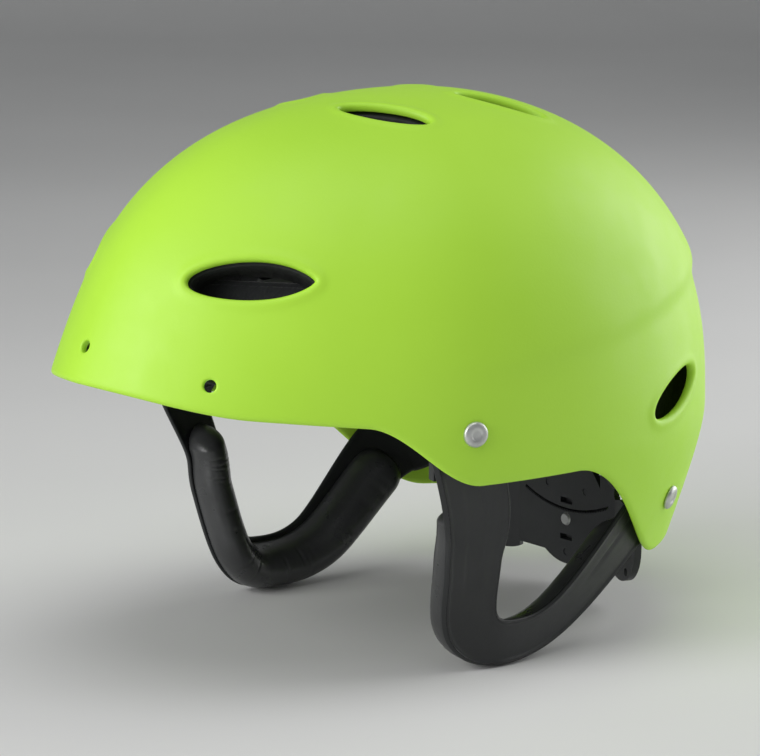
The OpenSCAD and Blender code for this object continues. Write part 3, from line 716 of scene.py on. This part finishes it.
def frame_at(phi, z, flare):
    """Tool frame on the skin, Z outwards."""
    uv = plan(np.array([phi]), np.array([z]))
    n = normal(uv, 0.0)[0]
    across = unit(np.cross([0.0, 0.0, 1.0], n))
    return skin(uv, flare)[0], np.stack([across, np.cross(n, across), n], 1)


def mirror_frame(o, m):
    m = MIRROR @ m
    return o * [-1, 1, 1], np.stack([-m[:, 0], m[:, 1], m[:, 2]], 1)


# Temple and rear rivets: angle off the front and level; then the rivet's turned outline
RIVETS = ((66.2, 11.9), (130.5, -33.0))
RIVET_HEAD = [(0.01, 1.62), (1.5, 1.62), (1.85, 1.66), (2.1, 1.85), (2.5, 2.0), (3.6, 1.95), (4.35, 1.7),
              (4.8, 1.25), (5.0, 0.75), (5.0, 0.25), (4.85, 0.05), (2.5, 0.05), (2.5, -11.1), (3.2, -11.2),
              (3.3, -11.6), (3.0, -12.1), (0.01, -12.2)]


def make_rivets(steel):
    first = None
    for k, (phi, z) in enumerate(RIVETS):
        left = frame_at(phi, z, PEAK_FLARE)
        for word, (o, m) in (("left", left), ("right", mirror_frame(*left))):
            obj = lathe("rivet_%s_%d" % (word, k + 1), RIVET_HEAD, o, m)
            obj.data.materials.append(steel)
            settle(obj, "helmet")
            first = first or obj
    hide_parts("shell_rivets")


def soften(name, width):
    """Rounded edges on a moulded or stamped piece that keeps its CAD shape."""
    mod = frame["nodes"][name].modifiers.new("soft_edges", "BEVEL")
    mod.width = width * MM
    mod.segments = 2
    mod.limit_method = "ANGLE"
    mod.angle_limit = math.radians(38)
    mod.use_clamp_overlap = True


# ---------------------------------------------------------------- pads: sewn cushions, blown up by cloth simulation
def pad_material():
    """Brushed knit over foam: tiny loops in rows, slightly uneven pile."""
    mat, tree, bsdf = new_material("pad_knit")
    coord = add(tree, "ShaderNodeTexCoord")
    tree.links.new(two_tone(tree, noise(tree, 55.0, 5.0, 0.6), (0.016, 0.017, 0.019), (0.034, 0.036, 0.039)),
                   bsdf.inputs["Base Color"])
    bsdf.inputs["Roughness"].default_value = 0.9
    bsdf.inputs["Sheen Weight"].default_value = 0.35
    bsdf.inputs["Sheen Roughness"].default_value = 0.5
    loops = add(tree, "ShaderNodeTexVoronoi", Scale=900.0, feature="SMOOTH_F1")
    tree.links.new(coord.outputs["Object"], loops.inputs["Vector"])
    first = bump(tree, bsdf, loops.outputs["Distance"], 0.0004, 0.8)
    bump(tree, bsdf, noise(tree, 160.0, 5.0, 0.7), 0.0006, 0.5, first)
    return mat


PAD_DEPTH = SHELL_T + LINER_GAP + LINER_T + 0.6
CLOTH_LIMIT = 0.0042  # metres a point may move
STITCH = (2.2, 0.9, 0.32)  # length, gap and radius of the pads' stitches


def pad_spot(phi, z, depth):
    """Point under the smooth skin, inset the way the foam is."""
    r = reach(phi, z, 0.0, depth)
    return np.stack([r * np.sin(np.radians(phi)), -r * np.cos(np.radians(phi)), z], -1)


def pad_grid(a0, a1, z0, z1, nu, nv):
    """Rounded-rectangle patch of the liner's inner face, as angles and levels, with u, v in -1..1."""
    u = np.linspace(-1, 1, nu)
    v = np.linspace(-1, 1, nv)
    vv, uu = np.meshgrid(v, u, indexing="ij")
    squeeze = (1 - np.abs(uu) ** 4) ** 0.25
    phi = (a0 + a1) / 2 + (a1 - a0) / 2 * uu * 0.98
    z = (z0 + z1) / 2 + (z1 - z0) / 2 * vv * np.maximum(0.3, squeeze)
    return uu, vv, phi, z


def sewn_pad(name, a0, a1, z0, z1, side, seams, mat, nu=56, nv=26):
    """A flat two-sided cushion on the liner, pinned at its back, rim and seams, inflated by cloth pressure."""
    uu, vv, phi, z = pad_grid(a0, a1, z0, z1, nu, nv)
    edge = np.minimum((1 - np.abs(uu)) / 0.10, (1 - np.abs(vv)) / 0.18)
    puff = 2.4 + 2.4 * np.sqrt(np.clip(edge, 0, 1))
    back = pad_spot(phi.ravel(), z.ravel(), PAD_DEPTH)
    front = pad_spot(phi.ravel(), z.ravel(), PAD_DEPTH + puff.ravel())
    n = nu * nv
    rim_ids = [(0, j) for j in range(nu)] + [(i, nu - 1) for i in range(1, nv)]
    rim_ids += [(nv - 1, j) for j in range(nu - 2, -1, -1)] + [(i, 0) for i in range(nv - 2, 0, -1)]
    rim_ids = [i * nu + j for i, j in rim_ids]
    sheet = grid_faces(nv, nu)
    faces = sheet + [tuple(n + k for k in reversed(f)) for f in sheet]
    for k in range(len(rim_ids)):
        a, b = rim_ids[k], rim_ids[(k + 1) % len(rim_ids)]
        faces.append((a, b, n + b, n + a))
    obj = mesh_object(name, np.concatenate([front, back]) * [side, 1, 1], faces)
    sewn = np.zeros(uu.shape, bool)
    for s in seams:
        sewn |= np.abs(uu - s) < 1.2 / nu
    held = obj.vertex_groups.new(name="held")
    count = len(obj.data.vertices)
    spots = np.concatenate([front, back]) * [side, 1, 1] * MM
    here = np.empty(count * 3)
    obj.data.vertices.foreach_get("co", here)
    here = here.reshape(-1, 3)
    at_rim = (np.abs(uu) > 0.999) | (np.abs(vv) > 0.999)
    hold_now = np.concatenate([(sewn | at_rim).ravel(), np.ones(n, bool)])
    tree = kdtree.KDTree(len(spots))
    for k, p in enumerate(spots):
        tree.insert(p, k)
    tree.balance()
    ids = [k for k in range(count) if hold_now[tree.find(here[k])[1]]]
    held.add(ids, 1.0, "REPLACE")
    inflate(obj)
    sub = obj.modifiers.new("smooth", "SUBSURF")
    sub.levels = sub.render_levels = 1
    obj.data.materials.append(mat)
    return obj


def inflate(obj, pressure=5.0, frames=20):
    """Cloth simulation with inner pressure; its last state becomes the mesh."""
    scene = bpy.context.scene
    mod = obj.modifiers.new("cloth", "CLOTH")
    s = mod.settings
    s.quality = 6
    s.mass = 0.15
    s.tension_stiffness = s.compression_stiffness = 12
    s.shear_stiffness = 6
    s.bending_stiffness = 0.6
    s.use_pressure = True
    s.uniform_pressure_force = pressure
    s.vertex_group_mass = "held"
    s.pin_stiffness = 1.0
    s.effector_weights.gravity = 0.0
    s.shrink_min = -0.06
    mod.collision_settings.use_collision = False
    mod.point_cache.frame_start, mod.point_cache.frame_end = 1, frames
    start = np.empty(len(obj.data.vertices) * 3)
    obj.data.vertices.foreach_get("co", start)
    for f in range(1, frames + 1):
        scene.frame_set(f)
    deps = bpy.context.evaluated_depsgraph_get()
    done = obj.evaluated_get(deps)
    end = np.empty(len(obj.data.vertices) * 3)
    done.data.vertices.foreach_get("co", end)
    obj.modifiers.remove(mod)
    scene.frame_set(1)
    move = (end - start).reshape(-1, 3)
    size = np.linalg.norm(move, axis=1, keepdims=True)
    move *= np.minimum(1.0, CLOTH_LIMIT / np.maximum(size, 1e-9))
    obj.data.vertices.foreach_set("co", (start.reshape(-1, 3) + move).ravel())
    obj.data.update()


def tube(name, path, radius, closed=False, sides=8, waves=0.0, pitch=2.0):
    """Round cord along a path; waves gives it the ridges of a twisted thread."""
    path = np.asarray(path, float)
    ahead_p = np.roll(path, -1, 0) if closed else np.vstack([path[1:], 2 * path[-1] - path[-2]])
    back_p = np.roll(path, 1, 0) if closed else np.vstack([2 * path[0] - path[1], path[:-1]])
    t = unit(ahead_p - back_p)
    ref = np.tile([0.0, 0.0, 1.0], (len(path), 1))
    ref[np.abs(t[:, 2]) > 0.9] = [0.0, 1.0, 0.0]
    a = unit(np.cross(t, ref))
    b = np.cross(t, a)
    run = np.concatenate([[0], np.cumsum(np.linalg.norm(np.diff(path, axis=0), axis=1))])
    r = radius * (1 + waves * np.sin(2 * math.pi * run / pitch))
    ang = np.linspace(0, 2 * math.pi, sides, endpoint=False)
    way = np.cos(ang)[None, :, None] * a[:, None] + np.sin(ang)[None, :, None] * b[:, None]
    ring = path[:, None] + r[:, None, None] * way
    rows = len(path)
    faces = grid_faces(rows, sides, wrap=True)
    if closed:
        last = (rows - 1) * sides
        faces += [(last + k, last + (k + 1) % sides, (k + 1) % sides, k) for k in range(sides)]
    else:
        faces += end_caps(rows, sides)
    return mesh_object(name, ring.reshape(-1, 3), faces)


def merged(name, objs):
    """Joins meshes that share a material into one piece."""
    bm = bmesh.new()
    for o in objs:
        bm.from_mesh(o.data)
    mesh = bpy.data.meshes.new(name)
    bm.to_mesh(mesh)
    bm.free()
    for m in objs[0].data.materials:
        mesh.materials.append(m)
    for o in objs:
        bpy.data.objects.remove(o)
    out = bpy.data.objects.new(name, mesh)
    bpy.context.scene.collection.objects.link(out)
    return out


def stitches(name, path, length, gap, radius, mat):
    """Single stitches laid end to end along a path."""
    path = np.asarray(path, float)
    run = np.concatenate([[0], np.cumsum(np.linalg.norm(np.diff(path, axis=0), axis=1))])
    at = lambda s: np.stack([np.interp(s, run, path[:, k]) for k in range(3)], -1)
    objs = []
    s = gap
    while s + length < run[-1]:
        obj = tube(name + "_s", at(np.linspace(s, s + length, 4)), radius, sides=6)
        obj.data.materials.append(mat)
        objs.append(obj)
        s += length + gap
    return merged(name, objs)


def thread_material():
    mat, tree, bsdf = new_material("sewing_thread")
    tree.links.new(two_tone(tree, noise(tree, 500.0, 3.0), (0.05, 0.053, 0.056), (0.11, 0.115, 0.12)),
                   bsdf.inputs["Base Color"])
    bsdf.inputs["Roughness"].default_value = 0.7
    return mat


# Each pad: word, node, angles, levels, side, seams
PADS = (("brow", "brow_pad", -42, 42, 43, 66, 1, (-0.36, 0.36)),
        ("side_left", "side_pad_left", 84, 118, 4, 46, 1, (0.0,)),
        ("side_right", "side_pad_right", 84, 118, 4, 46, -1, (0.0,)))


def pad_path(a0, a1, z0, z1, side, which, lift):
    """Line on a pad's front: its outline, or a seam at u."""
    if which == "outline":
        _, _, phi, z = pad_grid(a0, a1, z0, z1, 90, 40)
        line = [(0, j) for j in range(90)] + [(i, 89) for i in range(1, 40)]
        line += [(39, j) for j in range(88, -1, -1)] + [(i, 0) for i in range(38, 0, -1)]
        i, j = np.array(line).T
        return pad_spot(phi[i, j], z[i, j], PAD_DEPTH + lift) * [side, 1, 1]
    _, _, phi, z = pad_grid(a0, a1, z0, z1, 91, 40)
    j = int(round((which + 1) / 2 * 90))
    return pad_spot(phi[2:-2, j], z[2:-2, j], PAD_DEPTH + lift) * [side, 1, 1]


def make_pads(mat, thread):
    for word, node, a0, a1, z0, z1, side, seams in PADS:
        pad = sewn_pad("pad_" + word, a0, a1, z0, z1, side, seams, mat)
        cord = tube("piping_" + word, pad_path(a0, a1, z0, z1, side, "outline", 1.3), 1.25, closed=True, sides=10)
        cord.data.materials.append(mat)
        made = [pad, cord]
        for k, s in enumerate(seams):
            made.append(stitches("stitch_%s_%d" % (word, k), pad_path(a0, a1, z0, z1, side, s, 5.0),
                                 *STITCH, thread))
        for obj in made:
            settle(obj, "helmet")
        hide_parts(node)
    make_crown_pad(mat, thread)


CROWN_R = 32.5


def crown_under(x, y):
    """Height of the foam's inner face over a spot near the crown."""
    d = PAD_DEPTH
    r = np.hypot(x / (HALF_W - d), y / (0.5 * (FRONT_LEN + REAR_LEN) - d))
    return (CROWN_H - d) * (1 - np.clip(r, 0, 1) ** P_SIDE[1]) ** (1 / P_SIDE[0])


def make_crown_pad(mat, thread):
    """Round pad with a four-petal quilt, held at its rim and seams."""
    rings, spokes = 20, 72
    t = np.linspace(0, 2 * math.pi, spokes, endpoint=False)
    r = np.linspace(0.6, CROWN_R, rings)
    rr, tt = np.meshgrid(r, t, indexing="ij")
    x, y = rr * np.sin(tt), rr * np.cos(tt)
    top = crown_under(x, y) - 0.4
    thick = 2.2 + 3.0 * np.sqrt(np.clip((CROWN_R - rr) / 5, 0, 1))
    front = np.stack([x, y, top - thick], -1).reshape(-1, 3)
    back = np.stack([x, y, top], -1).reshape(-1, 3)
    n = rings * spokes
    sheet = grid_faces(rings, spokes, wrap=True)
    faces = sheet + [tuple(n + k for k in reversed(f)) for f in sheet]
    faces.append(tuple(range(spokes)))
    faces.append(tuple(n + k for k in reversed(range(spokes))))
    base = (rings - 1) * spokes
    for k in range(spokes):
        after = base + (k + 1) % spokes
        faces.append((base + k, after, n + after, n + base + k))
    pad = mesh_object("pad_crown", np.concatenate([front, back]), faces)
    here = np.empty(len(pad.data.vertices) * 3)
    pad.data.vertices.foreach_get("co", here)
    here = here.reshape(-1, 3) / MM
    radius = np.hypot(here[:, 0], here[:, 1])
    angle = np.degrees(np.arctan2(here[:, 0], here[:, 1]))
    off_seam = np.abs((angle + 45) % 90 - 45) * math.pi / 180 * radius
    roof = crown_under(here[:, 0], here[:, 1]) - 0.4
    held = (off_seam < 1.0) | (radius > CROWN_R - 0.5) | (here[:, 2] > roof - 1.0)
    group = pad.vertex_groups.new(name="held")
    group.add([int(k) for k in np.where(held)[0]], 1.0, "REPLACE")
    inflate(pad)
    sub = pad.modifiers.new("smooth", "SUBSURF")
    sub.levels = sub.render_levels = 1
    pad.data.materials.append(mat)
    loop = np.linspace(0, 2 * math.pi, 120, endpoint=False)
    cx, cy = (CROWN_R + 0.1) * np.sin(loop), (CROWN_R + 0.1) * np.cos(loop)
    cord = tube("piping_crown", np.stack([cx, cy, crown_under(cx, cy) - 1.6], -1), 1.25, closed=True, sides=10)
    cord.data.materials.append(mat)
    made = [pad, cord]
    for k in range(4):
        way = math.radians(90 * k)
        run = np.linspace(3, 30.5, 30)
        px, py = run * math.sin(way), run * math.cos(way)
        made.append(stitches("stitch_crown_%d" % k, np.stack([px, py, crown_under(px, py) - 5.7], -1),
                             *STITCH, thread))
    for obj in made:
        settle(obj, "helmet")
    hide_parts("crown_pad")


# ---------------------------------------------------------------- chin straps
BAR_OFF, WEB_TILT, WEB_W, WEB_T, WEB_L, BAR_R = (-12.5, -17.5), 36.0, 20.0, 1.6, 72.0, 1.3
WEB_X = -BAR_R - 0.1 - WEB_T
SELVEDGE = 0.7
WEB_STITCH = (1.7, 0.7, 0.24)  # length, gap and radius


def web_frame(side):
    """Frame of the stowed webbing: X outwards, Y across, Z along."""
    o, m = frame_at(*RIVETS[0], PEAK_FLARE)
    n = m[:, 2]
    lean = math.degrees(math.atan2(n[1], n[0]))
    base = rotation("Z", lean)
    origin = o + base @ np.array([BAR_OFF[0], 0, BAR_OFF[1]])
    turned = base @ rotation("Y", -WEB_TILT)
    return (origin, turned) if side > 0 else mirrored(origin, turned)


def web_place(side, pts):
    o, m = web_frame(side)
    return o + np.asarray(pts) @ m.T


def webbing_material():
    """Flat weave: a herringbone of yarns along the strap, with painted shade in the gaps between them (the colour
    darkens where the weave's height is low).
    """
    mat, tree, bsdf = new_material("webbing_weave")
    coord = add(tree, "ShaderNodeTexCoord")
    split = add(tree, "ShaderNodeSeparateXYZ")
    tree.links.new(coord.outputs["UV"], split.inputs["Vector"])

    def math_node(kind, a, b=None):
        node = add(tree, "ShaderNodeMath", operation=kind)
        for k, value in enumerate((a, b)):
            if value is None:
                continue
            if isinstance(value, (int, float)):
                node.inputs[k].default_value = value
            else:
                tree.links.new(value, node.inputs[k])
        return node.outputs[0]

    u, v = split.outputs["X"], split.outputs["Y"]
    zig = math_node("PINGPONG", u, 2.0)
    rows = math_node("SINE", math_node("MULTIPLY", math_node("ADD", math_node("MULTIPLY", v, 1.0),
                                                             math_node("MULTIPLY", zig, 0.55)), 7.0))
    yarns = math_node("ABSOLUTE", math_node("SINE", math_node("MULTIPLY", u, 6.283)))
    height = math_node("ADD", math_node("MULTIPLY", rows, 0.35), math_node("MULTIPLY", yarns, 0.65))
    # Painted shade: the colour follows the weave's height, darker in the low gaps between yarns and lighter on the
    # yarns' tops.
    tree.links.new(two_tone(tree, height, (0.008, 0.009, 0.010), (0.034, 0.036, 0.039), 0.0, 0.9),
                   bsdf.inputs["Base Color"])
    bsdf.inputs["Roughness"].default_value = 0.72
    first = bump(tree, bsdf, height, 0.0003, 0.8)
    bump(tree, bsdf, noise(tree, 900.0, 3.0), 0.0001, 0.5, first)
    return mat


def ribbon(name, side, middle, mat, width=WEB_W, thick=WEB_T):
    """Webbing along a middle line in the strap's own XZ plane, with rounded selvedges and a UV in millimetres."""
    middle = np.asarray(middle, float)
    run = np.concatenate([[0], np.cumsum(np.hypot(*np.diff(middle, axis=0).T))])
    count = max(8, int(run[-1] / 1.2))
    s = np.linspace(0, run[-1], count)
    mx, mz = np.interp(s, run, middle[:, 0]), np.interp(s, run, middle[:, 1])
    tx, tz = np.gradient(mx, s), np.gradient(mz, s)
    size = np.hypot(tx, tz)
    nx, nz = tz / size, -tx / size
    flat_w, flats = width / 2 - SELVEDGE, 17
    half = np.linspace(-flat_w, flat_w, flats)
    a = np.linspace(math.pi / 2, -math.pi / 2, 7)[1:-1]
    q = np.concatenate([half, flat_w + SELVEDGE * np.cos(a), half[::-1], -flat_w - SELVEDGE * np.cos(a)])
    h = np.concatenate([np.full(flats, 1.0), np.sin(a), np.full(flats, -1.0), -np.sin(a)]) * thick / 2
    pts = np.stack([mx[:, None] + nx[:, None] * h, np.broadcast_to(q, (count, len(q))),
                    mz[:, None] + nz[:, None] * h], -1)
    faces = grid_faces(count, len(q), wrap=True) + end_caps(count, len(q))
    obj = mesh_object(name, web_place(side, pts.reshape(-1, 3)), faces)
    layer = obj.data.uv_layers.new(name="weave")
    co = np.empty(len(obj.data.vertices) * 3)
    obj.data.vertices.foreach_get("co", co)
    o, m = web_frame(side)
    local = (co.reshape(-1, 3) / MM - o) @ m
    for loop in obj.data.loops:
        p = local[loop.vertex_index]
        layer.data[loop.index].uv = (p[1], p[2])
    obj.data.materials.append(mat)
    return obj


def strap_line():
    """From the buckle down to the bar, round it, and back up as the sewn-down end."""
    mid = WEB_X + WEB_T / 2
    turn_r = -mid
    t = np.linspace(math.pi, 2 * math.pi, 24)
    up = [(mid, z) for z in np.linspace(WEB_L, 0, 30)]
    around = [(turn_r * math.cos(a), turn_r * math.sin(a)) for a in t[1:]]
    merge = np.linspace(0, 1, 14)[1:]
    back = [(turn_r + (mid + WEB_T + 0.05 - turn_r) * float(sstep(k)), 6.5 * k) for k in merge]
    tail = [(mid + WEB_T + 0.05, z) for z in np.linspace(7, 15.2, 8)]
    return up + around + back + tail


def make_straps(mat, thread):
    for side, word in ((1, "left"), (-1, "right")):
        strap = ribbon("strap_" + word, side, strap_line(), mat)
        mid = WEB_X + WEB_T / 2
        faces_x = (mid - WEB_T / 2 - 0.12, mid + 1.5 * WEB_T + 0.2)
        made = [strap]
        for k, x in enumerate(faces_x):
            box = [(x, -8, 7.5), (x, 8, 7.5), (x, 8, 14.7), (x, -8, 14.7), (x, -8, 7.5)]
            fine = np.concatenate([np.linspace(box[i], box[i + 1], 12) for i in range(4)])
            made.append(stitches("box_%s_%d" % (word, k), web_place(side, fine), *WEB_STITCH, thread))
            for n, (a, b) in enumerate((((x, -7.5, 8), (x, 7.5, 14.2)), ((x, 7.5, 8), (x, -7.5, 14.2)))):
                line = web_place(side, np.linspace(a, b, 12))
                made.append(stitches("cross_%s_%d_%d" % (word, k, n), line, *WEB_STITCH, thread))
        for obj in made:
            settle(obj, "strap_" + word)
        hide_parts("chin_strap_" + word)


CRADLE_Y, CRADLE_T, ARC_Z, SLIT_R = 90.0, 3.0, 9.0, 66.6


def make_slit_teeth(mat):
    """Fine teeth along the lower edge of the cradle's curved slit, where the sliding straps run."""
    root, tip = SLIT_R + 0.1, SLIT_R - 0.62
    tooth = ((root, -0.36), (root, 0.36), (tip, 0.1), (tip, -0.1))
    verts, faces = [], []
    for a in np.arange(-23.2, 23.4, 0.95):
        base = len(verts)
        for y in (CRADLE_Y + 0.25, CRADLE_Y + CRADLE_T - 0.2):
            for r, da in tooth:
                t = math.radians(a + da)
                verts.append((r * math.sin(t), y, ARC_Z - r * math.cos(t)))
        faces += [tuple(base + k for k in quad) for quad in
                  ((0, 1, 2, 3), (7, 6, 5, 4), (0, 4, 5, 1), (1, 5, 6, 2), (2, 6, 7, 3), (3, 7, 4, 0))]
    teeth = mesh_object("cradle_slit_teeth", verts, faces, smooth=False)
    teeth.data.materials.append(mat)
    settle(teeth, "cradle")


# Width of the rounded edges on the nodes that keep their CAD shape
SOFT_EDGES = (("cradle_plate", 0.5), ("cradle_bracket", 0.6), ("dial_housing", 0.6), ("dial_knob", 0.6),
              ("dial_pinion", 0.15), ("rack_left", 0.25), ("rack_right", 0.25), ("buckle_female", 0.6),
              ("buckle_male", 0.5), ("strap_adjuster", 0.5), ("strap_plate_left", 0.2), ("strap_plate_right", 0.2),
              ("rivet_washers", 0.2), ("axle_rivet", 0.2), ("dial_screw", 0.2), ("cradle_pins", 0.2))


# ---------------------------------------------------------------- stage, lights, camera
AZ, EL, DISTANCE = 52.0, 11.5, 1500.0
TARGET = np.array([0.0, 0.0, 40.0])
OFF_X, OFF_Y, LENS_PX, IMAGE_W = 8.52, 27.89, 3690.0, 760.0


def view_axes():
    a, e = math.radians(AZ), math.radians(EL)
    back = np.array([math.sin(a) * math.cos(e), -math.cos(a) * math.cos(e), math.sin(e)])
    right = np.array([math.cos(a), math.sin(a), 0.0])
    return back, right, np.cross(back, right)


def make_camera():
    back, right, up = view_axes()
    place = TARGET + DISTANCE * back - OFF_X * right - OFF_Y * up
    data = bpy.data.cameras.new("photo_camera")
    data.sensor_width = 36.0
    data.lens = 36.0 * LENS_PX / IMAGE_W
    cam = bpy.data.objects.new("photo_camera", data)
    m = np.eye(4)
    m[:3, 0], m[:3, 1], m[:3, 2], m[:3, 3] = right, up, back, place * MM
    cam.matrix_world = Matrix(m.tolist())
    bpy.context.scene.collection.objects.link(cam)
    bpy.context.scene.camera = cam


def area_light(name, az, el, distance, size, power):
    """A soft panel aimed at the part, placed by its direction from the camera's side (degrees)."""
    a, e = math.radians(AZ + az), math.radians(el)
    way = Vector((math.sin(a) * math.cos(e), -math.cos(a) * math.cos(e), math.sin(e)))
    data = bpy.data.lights.new(name, "AREA")
    data.shape, data.size, data.energy = "DISK", size, power
    lamp = bpy.data.objects.new(name, data)
    lamp.location = way * distance + Vector((0, 0, 0.03))
    lamp.rotation_euler = way.to_track_quat("Z", "Y").to_euler()
    bpy.context.scene.collection.objects.link(lamp)


def make_lights():
    """Soft panels: one ahead, a weak one beside, one above, one behind, and a dim even sky."""
    area_light("key", -56, 22, 1.3, 1.0, 11)
    area_light("fill", 20, 8, 1.8, 1.2, 0.5)
    area_light("top", 0, 76, 1.2, 1.0, 4.2)
    area_light("rear_right", 116, 14, 1.2, 1.3, 11.5)
    world = bpy.data.worlds.new("studio")
    world.use_nodes = True
    world.node_tree.nodes["Background"].inputs["Color"].default_value = (0.95, 0.97, 1.0, 1)
    world.node_tree.nodes["Background"].inputs["Strength"].default_value = 0.2
    bpy.context.scene.world = world


def make_stage(lowest):
    """Pale floor with a seamless rise far behind."""
    size, back_at, high = 3.0, 2.2, 2.6
    a = math.radians(AZ)
    away = np.array([-math.sin(a), math.cos(a)])
    side = np.array([math.cos(a), math.sin(a)])
    path = [(-size, 0)] + [(x, 0) for x in (0, 1, back_at)]
    path += [(back_at + 0.6 * math.sin(t), 0.6 * (1 - math.cos(t))) for t in np.linspace(0.1, math.pi / 2, 12)]
    path += [(back_at + 0.6, high)]
    verts, faces = [], []
    for run, up in path:
        for s in (-size * 1.3, size * 1.3):
            p = away * run + side * s
            verts.append((p[0] / MM, p[1] / MM, (lowest + up) / MM))
    for k in range(len(path) - 1):
        faces.append((2 * k, 2 * k + 1, 2 * k + 3, 2 * k + 2))
    floor = mesh_object("studio_floor", verts, faces)
    mat, tree, bsdf = new_material("floor_pale")
    tree.links.new(two_tone(tree, noise(tree, 3.0, 2.0), (0.74, 0.74, 0.73), (0.78, 0.78, 0.77)),
                   bsdf.inputs["Base Color"])
    bsdf.inputs["Roughness"].default_value = 0.75
    floor.data.materials.append(mat)


slots = dress_cad()
make_shell()
make_liner(slots["liner"])
make_guards(slots)
make_rivets(slots["steel"])
knit, thread = pad_material(), thread_material()
make_pads(knit, thread)
make_straps(webbing_material(), thread)
make_slit_teeth(slots["cradle"])
for name, width in SOFT_EDGES:
    soften(name, width)
make_camera()
make_lights()
make_stage(float(cad_box[0][2]) - 0.0005)
bpy.context.scene.view_settings.view_transform = "Standard"
